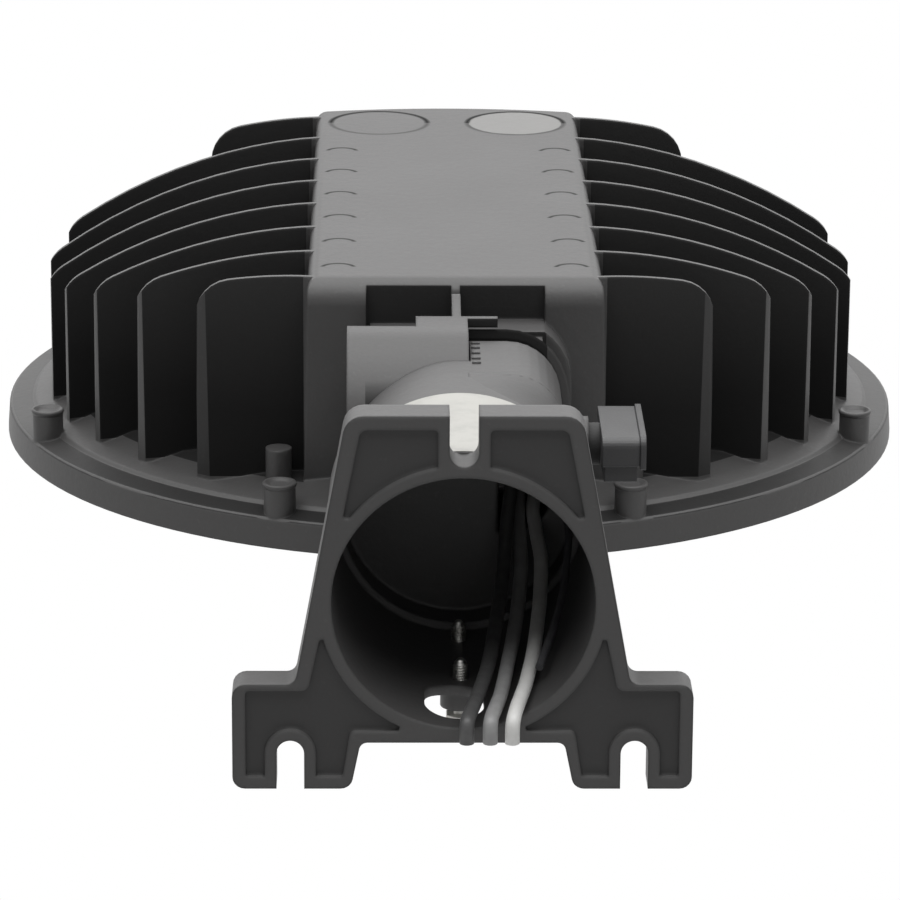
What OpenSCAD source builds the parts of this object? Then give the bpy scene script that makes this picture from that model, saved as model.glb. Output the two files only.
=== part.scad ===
// Arm-mounted street light: a finned round head on a tilting knuckle and a slip-fit arm with a foot plate.
// The origin is the bore's centre on the plate's rear face; +Y runs out to the head and +Z is up.

/* [Head] */
// Diameter of the head's round flange at its lower edge
flange_d = 254; // [244:1:280]
// Height of the flange's outer edge
flange_h = 8.2; // [7:0.1:10]
// How far the flange's outer edge leans in towards its top
flange_draft = 0.5; // [0.3:0.1:3]
// Width of the flange's lower edge outside the ring
flange_lip = 2.7; // [2.4:0.1:4]
// Width of the flat band outside the step, on which the screw posts stand
band_w = 11.9; // [10.5:0.1:14]
// Height of the fin circle's edge above the flange's underside
step_h = 11.3; // [10.8:0.1:13]
// Height of the floor between the fins
floor_h = 15.2; // [14:0.1:18]
// Distance from the plate's rear face to the head's centre
head_reach = 239; // [234:1:260]
// Distance of the flange's underside below the bore's axis
head_drop = 27.3; // [27:0.1:32]

/* [Fins] */
// Number of fins on each side of the driver box
fin_count = 8; // [4:1:8]
// Distance between the roots of neighbouring fins
fin_pitch = 25.8; // [20:0.1:26.5]
// Place of the nearest fin, measured from the head's centre
fin_first = -92.4; // [-94:0.1:-88]
// Distance along the arm between the outer ends of the two nearest fins
fin_end_pitch = 15.5; // [14:0.1:17]
// How much this distance grows from each fin to the next
fin_end_growth = 1.95; // [1.7:0.05:2.2]
// Distance of the farthest fin's outer end from the middle plane
last_fin_x = 69.5; // [60:0.5:74]
// Angle by which the farthest fin slants towards the arm
last_fin_slant = 16; // [0:1:24]
// Fin thickness at the ridge
fin_tip_t = 1.5; // [1.2:0.1:2.5]
// Fin thickness at the foot
fin_foot_t = 3; // [2.6:0.1:5]
// Radius of the arc that the fin ridges follow
fin_arc_r = 129; // [125:1:150]
// Radius of the rounded outer corner of a fin
fin_corner_r = 10; // [4:0.5:14]

/* [Driver box] */
// Height of the box's flat top above the flange's underside
box_h = 68.5; // [66:0.5:80]
// Width of the box at its top
box_w = 78.6; // [72:0.2:86]
// Wall thickness of the box
box_wall = 3.4; // [2.5:0.1:5]
// Distance from the head's centre to the middle of the box's far end
box_far = 98; // [90:0.5:102]
// Radius of the box's far end in plan
box_far_r = 160; // [130:1:220]
// Distance from the head's centre to the near faces of the two legs
box_near = 100; // [98:0.5:104]
// Radius of the rounding along the legs' near top edges
near_edge_r = 5; // [2:0.5:6]
// Radius of the rounding along the box's long top edges
box_edge_r = 3; // [1:0.5:5]
// Width of the pocket between the two legs
pocket_w = 47.4; // [46:0.2:54]
// Distance from the head's centre to the pocket's end wall
pocket_end = 97.5; // [95:0.5:99]
// Height of the neck's flat top above the flange's underside
neck_h = 56.5; // [52:0.5:60]
// Thickness of the upright rib in the pocket
rib_t = 2.3; // [1.8:0.1:4]

/* [Posts] */
// Number of ring-screw posts round the flange
post_count = 8; // [4:1:12]
// Diameter of a ring-screw post
post_d = 8.5; // [7:0.1:10]
// Height of the ring-screw posts above the flange's underside
post_h = 17; // [14:0.5:22]
// Diameter of a tall post
inner_post_d = 7; // [6:0.1:9]
// Height of the tall posts above the flange's underside
inner_post_h = 22; // [18:0.5:28]
// Distance of the tall posts from the middle plane
inner_post_x = 47.2; // [45.5:0.1:50]
// Distance of the tall posts from the head's centre along the arm
inner_post_y = 98; // [95:0.5:99]

/* [Optics] */
// Width of the ring's seat outside the lens
ring_seat_w = 10.3; // [9:0.1:12]
// Thickness of the lens
lens_t = 3; // [2:0.1:4]
// Thickness of the ring that holds the lens
ring_t = 3; // [2.5:0.1:3.4]
// Width by which the ring laps under the lens
ring_lap = 8; // [4:0.5:12]
// Height of the rubber gasket above the lens
gasket_t = 1.2; // [0.8:0.1:1.6]
// Width of the rubber gasket
gasket_w = 6; // [3:0.5:7]
// Gap in plan between the gasket and the round light board
board_rim = 5; // [4:0.5:10]
// Thickness of the light board
board_t = 2; // [1:0.1:2.5]
// Length and width of a light chip
chip_w = 5; // [3:0.1:6]
// Thickness of a light chip
chip_t = 0.8; // [0.5:0.1:1.2]
// Distance between neighbouring rings of chips
chip_ring_pitch = 19; // [16:0.5:20]

/* [Driver] */
// Width of the driver block
driver_w = 58; // [40:1:62]
// Length of the driver block
driver_l = 130; // [100:1:138]
// Height of the driver block
driver_h = 36; // [20:1:42]
// Length of each fixing ear of the driver
driver_ear = 10; // [9:0.5:11]
// Thickness of the driver's fixing ears
driver_ear_t = 3; // [2:0.5:5]

/* [Knuckle] */
// Distance from the plate's rear face to the hinge axis
hinge_y = 109; // [107:0.5:112]
// Height of the hinge axis above the bore's axis
hinge_z = 10.7; // [10:0.1:11.4]
// Radius of the head's barrel
barrel_r = 26.1; // [25:0.1:26.4]
// Distance of the barrel's left end from the middle plane
barrel_left = 28.6; // [26:0.1:30]
// Place of the parting plane between barrel and drum
part_x = 3; // [2:0.1:4]
// Gap between the barrel's flat end and the drum's
part_gap = 0.4; // [0.3:0.1:0.8]
// Gap between the barrel and its socket
socket_gap = 0.6; // [0.4:0.1:1]
// Radius of the arm's drum
drum_r = 22.2; // [21:0.1:22.4]
// Distance of the drum's right end from the middle plane
drum_right = 27; // [25:0.1:28]
// Radius of the drum's rounded right end
drum_corner_r = 14; // [10:0.5:16]
// Gap between the drum and the hood over it
hood_gap = 1.2; // [1:0.1:1.5]
// Wall of the hood over the drum
hood_wall = 2.4; // [2:0.1:3]
// Distance from the hinge axis to the hood's rim
hood_rim = 12; // [11:0.5:14]
// Width of the flat tab on top of the barrel
tab_w = 21.4; // [16:0.2:24]
// Thickness of the tab
tab_t = 2.4; // [1.8:0.1:3]

/* [Arm] */
// Radius of the slip-fit bore
bore_r = 31.7; // [30.4:0.1:32]
// Depth of the slip-fit bore from the plate's rear face
bore_depth = 70; // [60:0.5:72]
// Radius of the narrower bore behind the pipe's stop
inner_r = 29.7; // [28:0.1:30]
// Outer radius of the tube at the plate
tube_r1 = 35; // [34.5:0.1:38]
// Outer radius of the tube at the knuckle
tube_r2 = 33; // [32.6:0.1:34]
// Thickness of the casting's end wall, socket shell and drum wall
cast_wall = 3; // [2.4:0.1:3.5]
// Thickness of the web that carries the hinge bolt
web_t = 7; // [5:0.5:8]
// Length of the cable slot in the tube's underside
slot_l = 22.8; // [16:0.1:24]
// Width of the cable slot in the tube's underside
slot_w = 14.6; // [10:0.1:16]
// Distance of the cable slot's centre from the plate's rear face
slot_y = 18; // [17.5:0.5:18.5]

/* [Plate] */
// Thickness of the foot plate
plate_t = 9.7; // [8:0.1:12]
// Height of the plate's top edge above the bore's axis
plate_top = 47; // [46:0.5:52]
// Half the width of the plate at its top
plate_top_x = 28; // [26:0.5:30]
// Half the width of the plate where the feet begin
plate_low_x = 40.4; // [38:0.2:42]
// Depth of the feet's upper edges below the bore's axis
foot_top = 20.5; // [18:0.5:23]
// Depth of the feet's lower edges below the bore's axis
foot_bottom = 47.3; // [45:0.1:52]
// Distance of the feet's outer edges from the middle plane
foot_out_x = 55.6; // [53:0.2:60]
// Distance of the feet's inner edges from the middle plane, at their root
foot_in_x = 24.6; // [22:0.2:26]
// Depth of the edge between the feet below the bore's axis
foot_arch = 35.4; // [35.2:0.1:37]
// Distance of the foot slots from the middle plane
slot_x = 41.6; // [40:0.1:43]
// Width of the foot slots
foot_slot_w = 6.7; // [5:0.1:8]
// Depth of the foot slots' closed ends below the bore's axis
foot_slot_end = 34.9; // [32:0.1:38]
// Width of the top slot
top_slot_w = 7; // [5:0.1:8]
// Height of the top slot's closed end above the bore's axis
top_slot_end = 34.3; // [34.1:0.1:38]
// Depth of the plate's shallow recesses
recess_depth = 1.2; // [0.6:0.1:2]
// Width of the raised rim round the plate's recesses
rim_w = 3.4; // [2.5:0.1:3.6]
// Radius of the plate's outer corners
plate_corner_r = 5; // [2:0.5:7]

/* [Clamp screws] */
// Radius of a clamp screw's thread
screw_r = 2; // [1.5:0.1:3]
// Running gap between a clamp screw and its boss
screw_gap = 0.08; // [0.05:0.01:0.1]
// How far a clamp screw stands into the bore
screw_stand = 7; // [4:0.5:9]
// Distance of the near clamp screw from the plate's rear face
screw_near_y = 35; // [35:0.5:38]
// Distance between the two clamp screws
screw_pitch = 28; // [24:0.5:28]
// Radius of a clamp screw's boss
boss_r = 5; // [4.5:0.5:7]
// Depth of a clamp screw's boss below the bore's wall
boss_depth = 7; // [6:0.5:9]
// Height of a clamp screw's head
screw_head_h = 2.8; // [2:0.1:4]
// Radius across the corners of a clamp screw's hexagon head
screw_head_r = 4; // [3.8:0.1:6]

/* [Sensor] */
// Distance of the light sensor from the plate's rear face
sensor_y = 74.5; // [73:0.5:76]
// Height of the sensor's top above the bore's axis
sensor_top = 22.7; // [22:0.1:24]
// Length of the sensor body along the arm
sensor_l = 31; // [26:0.5:34]
// Width of the sensor body
sensor_w = 9.5; // [8:0.1:14]
// Height of the sensor body
sensor_h = 7.3; // [7:0.1:8]
// Thickness of the lip plate on the sensor's outer end
sensor_lip = 1.5; // [1:0.1:2.5]
// Height of the block under the sensor body
sensor_block_h = 4.4; // [3:0.1:6]
// Length of the collar between arm and sensor
collar_l = 3; // [2:0.5:6]
// Distance of the collar's seat from the middle plane
collar_seat = 32.6; // [32.2:0.1:33.4]
// Radius of the sensor's stem through the tube wall
stem_r = 4; // [3:0.1:4.4]

/* [Hinge bolt and screws] */
// Radius of the hinge bolt's shank
bolt_r = 4; // [3:0.5:5]
// Gap between the hinge bolt and the head's barrel
bolt_gap = 0.1; // [0.05:0.01:0.2]
// Radius across the corners of the hinge bolt's hexagon head and nut
bolt_head_r = 7.5; // [7:0.1:8.5]
// Height of the hinge bolt's head
bolt_head_h = 5.3; // [4:0.1:7]
// Thickness of the hinge bolt's nut
nut_t = 6.5; // [4:0.5:7]
// Thickness of the washer under the bolt's head
washer_t = 1.6; // [1:0.1:2.5]
// Radius of the washer
washer_r = 9; // [8.8:0.1:11]
// Thread radius of the ring, board and driver screws
small_r = 1.8; // [1.5:0.1:2]
// Head radius of the ring, board and driver screws
small_head_r = 3; // [2.8:0.1:3.1]
// Head height of the ring, board and driver screws
small_head_h = 1.8; // [1.2:0.1:2.2]
// Length of the board and driver screws' thread in the casting
screw_bite = 6; // [4:0.5:6.5]

/* [Leads and label] */
// Diameter of a supply lead
lead_d = 3.6; // [3:0.1:3.8]
// Diameter of a sensor lead
thin_d = 2; // [1.6:0.1:2.4]
// Width of the blank label along the arm
label_l = 52; // [40:1:54]
// Angle that the label covers round the arm
label_angle = 76; // [40:1:90]
// Thickness of the label
label_t = 0.2; // [0.15:0.05:0.4]

/* [Hidden] */
$fn = 96;
eps = 0.01;
past = 1;
fit_gap = 0.3;
face_gap = 0.3;

// Head sizes in the head's own frame, whose origin is the flange's centre at its underside
flange_r = flange_d / 2;
flange_top_r = flange_r - flange_draft;
fin_circle_r = flange_top_r - band_w;
step_r = fin_circle_r + 5.3;
post_margin = 0.35;
post_ring_r = flange_top_r - post_d / 2 - post_margin;
band_h = flange_h + 1.1;
ring_out_r = flange_r - flange_lip;
lens_r = ring_out_r - ring_seat_w;
seat_r = lens_r + fit_gap;
board_d = 2 * (lens_r - gasket_w - board_rim);
lens_z = ring_t;
gasket_z = lens_z + lens_t;
ledge_z = gasket_z + gasket_t;
well_r = board_d / 2 + 1;
tab_dip = 0.2;
tab_over = 1.6;
tab_lip = 0.7;
hood_run = 8;
hood_dip = 2.6;
foot_dip = 4;
root_overlap = 2;
cut_reach = flange_d;
ceiling_z = floor_h - 2.7;
box_half = box_w / 2;
cavity_half = box_half - box_wall;
leg_in = pocket_w / 2;
leg_out = box_half + 1.1;
hinge_dy = hinge_y - head_reach;
hinge_dz = hinge_z + head_drop;
barrel_top = hinge_dz + barrel_r;
hood_in_r = drum_r + hood_gap;
hood_out_r = hood_in_r + hood_wall;
hood_in_x = drum_right + hood_gap;
hood_out_x = hood_in_x + hood_wall;
hood_corner_r = drum_corner_r + hood_gap;
fin_arc_x = 44;
fin_arc_z = box_h - 0.3 - fin_arc_r;
board_z = ceiling_z - board_t;
roof_z = box_h - box_wall;
pad_h = 8;
driver_top = roof_z - pad_h;
driver_lug_y = driver_l / 2 + driver_ear / 2;
pad_r = 4.5;
board_post_r = 5;
board_post_x = cavity_half - board_post_r + 1;
board_post_y = driver_l / 2 + driver_ear + 2 + board_post_r;
seat_gap = 0.05;
slot_off = -1.8;

// Arm sizes in the part's frame
socket_r = barrel_r + socket_gap;
shell_r = socket_r + cast_wall;
wall_y2 = hinge_y - socket_r;
wall_y1 = wall_y2 - cast_wall;
drum_left = part_x + part_gap / 2;
barrel_right = part_x - part_gap / 2;
web_right = drum_left + web_t;
screw_far_y = screw_near_y + screw_pitch;
boss_bottom = bore_r + boss_depth;
screw_tip = bore_r - screw_stand;
sensor_x1 = collar_seat + collar_l;
sensor_mid_z = sensor_top - (sensor_h + sensor_block_h) / 2;
bolt_head_x = barrel_left - bolt_head_h - washer_t - 1.2;
lead_end_z = -32.5;

// Points of the free leads, from the drum's hollow to the cut ends behind the plate
white_pts = [[10.4, 94, -0.6], [14, 94, -0.6], [18.2, 93, -0.4], [19.7, 88, -0.6], [19.1, 81, -2.9],
    [19.8, 75, -6.9], [20.8, 66, -11.2], [20.4, 56, -15.2], [19.6, 44, -17.6], [17.8, 26, -21.2],
    [15.6, 12, -24.2], [14, 4, -25.4], [13.2, 0, -25.8], [12.5, -4, -26.2], [12, -6.8, -27.2],
    [11.8, -7.6, -28.9], [11.8, -7.6, lead_end_z]];
grey_pts = [[10.4, 90, 4], [13.8, 90, 4], [15.4, 88, 3], [15.2, 82, -0.6], [15.4, 76, -6.5], [15.8, 68, -12],
    [15.2, 58, -17], [13.6, 42, -21], [11.6, 26, -24], [9.4, 10, -26.6], [8, 2, -27], [7.4, -1.5, -27],
    [6.9, -4.6, -27], [6.6, -6.9, -27.5], [6.5, -7.6, -28.9], [6.5, -7.6, lead_end_z]];
black_pts = [[10.45, 85, 10], [13, 85, 10], [14, 82.6, 8.6], [13.4, 78, 4], [12.4, 73, -3], [11.6, 67, -10],
    [10.6, 58, -16.4], [9, 44, -20], [6.8, 26, -24.4], [3.8, 10, -27], [2.4, 2, -27.2], [1.8, -1.5, -27.2],
    [1.3, -4.6, -27.2], [1, -6.9, -27.6], [0.9, -7.6, -28.9], [0.9, -7.6, lead_end_z]];
thin_a_pts = [[23.7, 74.5, 15], [21.4, 74.5, 15], [20.7, 72.2, 11.8], [24.6, 67, 7], [27.2, 58, 0],
    [26.4, 48, -7.4], [25, 39, -12.6], [22.6, 28, -16.4], [20, 18, -19.5], [18.8, 13, -20.8]];
thin_b_pts = [[23.7, 74.5, 18.6], [21.4, 74.5, 18.6], [19, 76.6, 17], [18.4, 83, 14.6], [16.6, 91, 14],
    [13.4, 94, 14], [10.35, 94, 14]];

// Helper functions
// Points of an arc about c from angle a to angle b in n steps
function arc(c, r, a, b, n) = [for (i = [0:n]) c + r * [cos(a + (b - a) * i / n), sin(a + (b - a) * i / n)]];

// Fillet points at corner q between p and n
function fillet(p, q, n, r) =
    let (u = (p - q) / norm(p - q), v = (n - q) / norm(n - q))
    let (half = acos(max(-1, min(1, u * v))) / 2)
    let (back = min(r / tan(half), norm(p - q) * 0.48, norm(n - q) * 0.48))
    let (rr = back * tan(half), c = q + (u + v) / norm(u + v) * rr / sin(half))
    let (a = q + u * back - c, b = q + v * back - c)
    let (a0 = atan2(a[1], a[0]), turn = atan2(a[0] * b[1] - a[1] * b[0], a * b))
    r <= 0 ? [q] : arc(c, rr, a0, a0 + turn, 5);

// Closed outline with every corner rounded by its own radius, from points [x, y, r]
function rounded(pts) = let (n = len(pts)) [for (i = [0:n - 1])
    each fillet([pts[(i + n - 1) % n][0], pts[(i + n - 1) % n][1]], [pts[i][0], pts[i][1]],
        [pts[(i + 1) % n][0], pts[(i + 1) % n][1]], pts[i][2])];

// A point on the smooth curve through a row of points
function spline(p, i, t) =
    let (n = len(p) - 1, a = p[max(i - 1, 0)], b = p[i], c = p[min(i + 1, n)], d = p[min(i + 2, n)])
    0.5 * (2 * b + (c - a) * t + (2 * a - 5 * b + 4 * c - d) * t * t + (3 * b - a - 3 * c + d) * t * t * t);
function path_of(p) = [for (i = [0:len(p) - 2]) for (t = [0, 0.5]) spline(p, i, t), p[len(p) - 1]];
function unit(v) = v / norm(v);
function turned(u, t) = unit(u - (u * t) * t);
function side_at(p, i) = i == 0
    ? turned([0, 0, 1], unit(p[1] - p[0]))
    : turned(side_at(p, i - 1), unit(p[min(i + 1, len(p) - 1)] - p[i - 1]));

// Round tube of eight sides along a row of points, square at both ends
module tube_along(points, d) {
    p = path_of(points);
    n = len(p);
    sides = 8;
    rings = [for (i = [0:n - 1])
        let (t = unit(p[min(i + 1, n - 1)] - p[max(i - 1, 0)]), u = side_at(p, i), v = cross(t, u))
        for (k = [0:sides - 1]) p[i] + d / 2 * (cos(360 * k / sides) * u + sin(360 * k / sides) * v)];
    walls = [for (i = [0:n - 2]) for (k = [0:sides - 1])
        let (a = i * sides + k, b = i * sides + (k + 1) % sides)
        each [[a, a + sides, b + sides], [a, b + sides, b]]];
    first = [for (k = [1:sides - 2]) [0, k, k + 1]];
    last = [for (k = [1:sides - 2]) [(n - 1) * sides, (n - 1) * sides + k + 1, (n - 1) * sides + k]];
    polyhedron(points = rings, faces = concat(walls, first, last), convexity = 6);
}

// Cylinder along X from x1 to x2 about the hinge axis, in the frame whose hinge point is given
module along_x(x1, x2, r, at) translate([x1, at[0], at[1]]) rotate([0, 90, 0]) cylinder(r = r, h = x2 - x1);

// Cylinder along Y from y1 to y2 about the bore's axis
module along_y(y1, y2, ra, rb) translate([0, y1, 0]) rotate([-90, 0, 0]) cylinder(r1 = ra, r2 = rb, h = y2 - y1);

// Half outline of a drum: radius over distance along X, with a rounded right end
function drum_half(x1, x2, r, rc) = concat([[0, x1], [r, x1]], arc([r - rc, x2 - rc], rc, 0, 90, 8), [[0, x2]]);

// Drum turned about the hinge axis
module drum(x1, x2, r, rc, at) translate([0, at[0], at[1]]) rotate([90, 0, 90]) rotate_extrude()
    polygon(drum_half(x1, x2, r, rc));

// The same outline drawn straight along Y, from y1 to y2
module drum_bar(x1, x2, r, rc, y1, y2, z) translate([0, y2, z]) rotate([90, 0, 0]) linear_extrude(y2 - y1)
    polygon(concat([[x1, -r]], arc([x2 - rc, -r + rc], rc, -90, 0, 8), arc([x2 - rc, r - rc], rc, 0, 90, 8), [[x1, r]]));

// Place of the head's own frame in the part's frame
module head_place() translate([0, head_reach, -head_drop]) children();

// Outline of a fin seen along the arm, from the box's side to its outer end at x = xe
function fin_outline(xe) =
    let (xi = box_half - box_edge_r, fr = fin_arc_r - fin_corner_r, c0 = [fin_arc_x, fin_arc_z])
    let (cx = xe - fin_corner_r, cz = fin_arc_z + sqrt(fr * fr - (cx - fin_arc_x) * (cx - fin_arc_x)))
    let (lean = atan2(cz - fin_arc_z, cx - fin_arc_x))
    concat([[xi, step_h - 2], [xe, step_h - 2]], arc([cx, cz], fin_corner_r, 0, lean, 6),
        arc(c0, fin_arc_r, lean, max(lean, acos((xi - fin_arc_x) / fin_arc_r)), 10));

// Upright fin from its root at the box's side to its outer end [x, y], thinner towards its ridge
module fin(root_y, end) {
    slant = atan2(root_y - end[1], end[0] - box_half);
    intersection() {
        translate([0, root_y + 2 * fin_foot_t, 0]) rotate([90, 0, 0])
            linear_extrude(root_y - end[1] + 4 * fin_foot_t) polygon(fin_outline(end[0] + fin_foot_t / 2));
        translate([box_half, root_y, 0]) rotate(-slant) translate([-box_half, 0, 0]) rotate([90, 0, 90])
            linear_extrude(2 * flange_r) polygon([[-fin_foot_t / 2, 0], [fin_foot_t / 2, 0],
                [fin_tip_t / 2, box_h + past], [-fin_tip_t / 2, box_h + past]]);
        cylinder(r = fin_circle_r, h = box_h + past);
    }
}

// Where the outer end of a fin stands: on the fin circle, but for the farthest, which is shorter
function fin_root(k) = fin_first + k * fin_pitch;
function fin_end_y(k) = fin_first + k * fin_end_pitch + k * (k - 1) / 2 * fin_end_growth;
function fin_end(k) = k < fin_count - 1
    ? [sqrt(fin_circle_r * fin_circle_r - fin_end_y(k) * fin_end_y(k)), fin_end_y(k)]
    : [last_fin_x, fin_root(k) - (last_fin_x - box_half) * tan(last_fin_slant)];

// Plan of the driver box: straight sides and a far end on a wide arc
module box_plan(inset) {
    intersection() {
        translate([-box_half - past, -pocket_end + inset])
            square([2 * (box_half + past), box_far + pocket_end - 2 * inset + past]);
        translate([0, box_far - box_far_r]) circle(r = box_far_r - inset, $fn = 200);
    }
}

// Cross-section of the box across the arm: drafted sides and rounded top edges
module box_section(inset, bottom) {
    top = box_h - inset;
    half = box_half - inset;
    translate([0, box_reach, 0]) rotate([90, 0, 0]) linear_extrude(2 * box_reach)
        polygon(rounded([[-half - 1.1, bottom, 0], [half + 1.1, bottom, 0], [half, top, box_edge_r],
            [-half, top, box_edge_r]]));
}
box_reach = flange_r;

module flange_body() rotate_extrude() polygon([[0, 0], [flange_r, 0], [flange_r, 1], [flange_top_r, flange_h - 0.6], [flange_top_r - 0.8, flange_h],
    [step_r, band_h], [step_r - 1, band_h + 0.9], [fin_circle_r, step_h], [fin_circle_r - 1.3, step_h + 0.1],
    [fin_circle_r - 8.8, floor_h - 1.2], [fin_circle_r - 19.3, floor_h - 0.4], [0, floor_h]]);

module at_posts() for (i = [0:post_count - 1]) rotate((i + 0.5) * 360 / post_count)
    translate([post_ring_r, 0, 0]) children();
module at_inner_posts() for (sx = [-1, 1], sy = [-1, 1]) translate([sx * inner_post_x, sy * inner_post_y, 0])
    children();

// Underside: ring recess, lens seat and board well in one turned cut
module underside_cut() rotate_extrude() polygon([[0, -past], [ring_out_r + fit_gap, -past],
    [ring_out_r + fit_gap, lens_z], [seat_r, lens_z], [seat_r, ledge_z], [well_r, ledge_z], [well_r, ceiling_z],
    [0, ceiling_z]]);

// Knuckle side of the head: barrel, neck, hood, tab and rib
module head_knuckle() {
    at = [hinge_dy, hinge_dz];
    // Barrel with its flat right end at the parting plane
    along_x(-barrel_left, barrel_right, barrel_r, at);
    difference() {
        union() {
            intersection() {
                drum(0, hood_out_x, hood_out_r, hood_corner_r + hood_wall, at);
                translate([0, hinge_dy + hood_rim, floor_h - foot_dip])
                    cube([cut_reach, -pocket_end - hinge_dy, cut_reach]);
            }
            // Neck between knuckle and box
            translate([-leg_in + past, hinge_dy + hood_rim, floor_h - foot_dip])
                cube([2 * (leg_in - past), -pocket_end - hinge_dy - hood_rim + root_overlap, neck_h - floor_h + foot_dip]);
            // Hood carried back to the pocket's end wall
            drum_bar(part_x, hood_out_x, hood_out_r, hood_corner_r + hood_wall, hinge_dy + hood_rim + hood_run,
                -pocket_end + root_overlap, hinge_dz - hood_dip);
            // Tab at the barrel's top: its right part starts further out, clear of the arm at full tilt
            translate([-tab_w / 2, hinge_dy, barrel_top - tab_dip - tab_t])
                cube([tab_w / 2 + barrel_right, hood_rim + tab_over, tab_t]);
            translate([0, hinge_dy + hood_rim - tab_lip, barrel_top - tab_dip - tab_t])
                cube([tab_w / 2, tab_lip + tab_over, tab_t]);
            // Rib from the box's top edge down to the tab
            translate([rib_t / 2, 0, 0]) rotate([90, 0, -90]) linear_extrude(rib_t)
                polygon([[pocket_end - 1, neck_h - 2], [pocket_end - 1, box_h - 0.5],
                    [-hinge_dy - hood_rim - 1, barrel_top - 0.2], [-hinge_dy - hood_rim - 1, neck_h - 2]]);
        }
        // Room for the arm's drum
        drum(barrel_right, hood_in_x, hood_in_r, hood_corner_r, at);
        // Barrel side stays clear of the parting gap
        translate([barrel_right, hinge_dy - cut_reach, 0]) cube([cut_reach, cut_reach, cut_reach]);
    }
}

module housing() color([0.24, 0.23, 0.225]) head_place() difference() {
    union() {
        flange_body();
        // Driver box shell
        intersection() {
            translate([0, 0, floor_h - foot_dip]) linear_extrude(box_h) box_plan(0);
            box_section(0, floor_h - foot_dip);
        }
        // Legs on both sides of the pocket
        for (s = [-1, 1]) scale_x(s) intersection() {
            translate([leg_in, -box_near, floor_h - foot_dip])
                cube([leg_out + past - leg_in, box_near - pocket_end + 2 * root_overlap, box_h]);
            box_section(0, floor_h - foot_dip);
            rotate([90, 0, 90]) linear_extrude(cut_reach) polygon(rounded([[-box_near, floor_h - foot_dip, 0],
                [0, floor_h - foot_dip, 0], [0, box_h, 0], [-box_near, box_h, near_edge_r]]));
        }
        for (k = [0:fin_count - 1], s = [-1, 1]) scale_x(s) fin(fin_root(k), fin_end(k));
        at_posts() translate([0, 0, lens_z + root_overlap]) cylinder(d = post_d, h = post_h - lens_z - root_overlap);
        at_inner_posts() translate([0, 0, floor_h - 2]) cylinder(d = inner_post_d, h = inner_post_h - floor_h + 2);
        head_knuckle();
    }
    underside_cut();
    // Driver cavity, open to the board well, with posts and pads left standing in it
    difference() {
        intersection() {
            translate([0, 0, ceiling_z - past]) linear_extrude(roof_z - ceiling_z + past) box_plan(box_wall);
            translate([-cavity_half, -box_reach, 0]) cube([2 * cavity_half, 2 * box_reach, box_h]);
        }
        at_board_posts() translate([0, 0, ceiling_z]) cylinder(r = board_post_r, h = box_h);
        driver_screw_places() translate([0, 0, driver_top]) cylinder(r = pad_r, h = box_h);
    }
    wire_window(hinge_dy, -pocket_end + box_wall + past, hinge_dz);
    // Screw holes in the posts
    at_posts() translate([0, 0, -past]) cylinder(r = small_r, h = post_h - 2.5 + past);
    at_board_posts() translate([0, 0, ceiling_z - past]) cylinder(r = small_r, h = screw_bite + 2 * past);
    driver_screw_places() translate([0, 0, driver_top - eps]) cylinder(r = small_r, h = screw_bite + past);
    // Shallow dish in the top of each ring-screw post
    at_posts() translate([0, 0, post_h - 0.6]) cylinder(d1 = post_d - 3, d2 = post_d - 1.6, h = 0.6 + eps);
    // Bolt hole through the barrel with a pocket for the bolt's head
    along_x(-barrel_left - past, barrel_right + past, bolt_r + bolt_gap, [hinge_dy, hinge_dz]);
    along_x(-barrel_left - past, -bolt_head_x, washer_r + fit_gap, [hinge_dy, hinge_dz]);
}

module scale_x(s) if (s > 0) children(); else mirror([1, 0, 0]) children();

module driver_screw_places() for (s = [-1, 1]) translate([0, s * driver_lug_y, 0]) children();

module at_board_posts() for (sx = [-1, 1], sy = [-1, 1])
    translate([sx * board_post_x, sy * board_post_y, 0]) children();

// Block of the driver with an ear at each end
module driver() color([0.75, 0.75, 0.74]) head_place() difference() {
    union() {
        translate([0, 0, driver_top - driver_h]) linear_extrude(driver_h)
            polygon(rounded([for (s = [[-1, -1], [1, -1], [1, 1], [-1, 1]])
                [s[0] * driver_w / 2, s[1] * driver_l / 2, 4]]));
        translate([0, 0, driver_top - driver_ear_t]) linear_extrude(driver_ear_t)
            polygon(rounded([for (s = [[-1, -1], [1, -1], [1, 1], [-1, 1]])
                [s[0] * driver_w / 4, s[1] * (driver_l / 2 + driver_ear), 3]]));
    }
    driver_screw_places() translate([0, 0, driver_top - driver_h]) cylinder(r = small_r, h = driver_h + past);
}

// Pan-head screw whose head's upper face lies at z = 0 and whose shank runs up
module small_screw(shank) {
    cylinder(r = small_r, h = shank);
    difference() {
        translate([0, 0, -small_head_h]) cylinder(r = small_head_r, h = small_head_h);
        translate([0, 0, -small_head_h - eps]) cylinder(r = small_r * 0.7, h = small_head_h / 2, $fn = 6);
    }
}

module driver_screws() color([0.8, 0.8, 0.8]) head_place()
    driver_screw_places() translate([0, 0, driver_top - driver_ear_t]) small_screw(driver_ear_t + screw_bite);

module led_board() color([0.95, 0.95, 0.93]) head_place() difference() {
    translate([0, 0, board_z]) cylinder(d = board_d, h = board_t);
    at_board_posts() translate([0, 0, board_z - past]) cylinder(r = small_r, h = board_t + 2 * past);
}

// Light chips in rings round one in the middle
module leds() color([0.98, 0.9, 0.45]) head_place() translate([0, 0, board_z - chip_t]) {
    translate([-chip_w / 2, -chip_w / 2, 0]) cube([chip_w, chip_w, chip_t]);
    for (ring = [1:4]) for (i = [0:6 * ring - 1]) rotate((i + 0.5) * 60 / ring)
        translate([ring * chip_ring_pitch - chip_w / 2, -chip_w / 2, 0]) cube([chip_w, chip_w, chip_t]);
}

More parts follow.
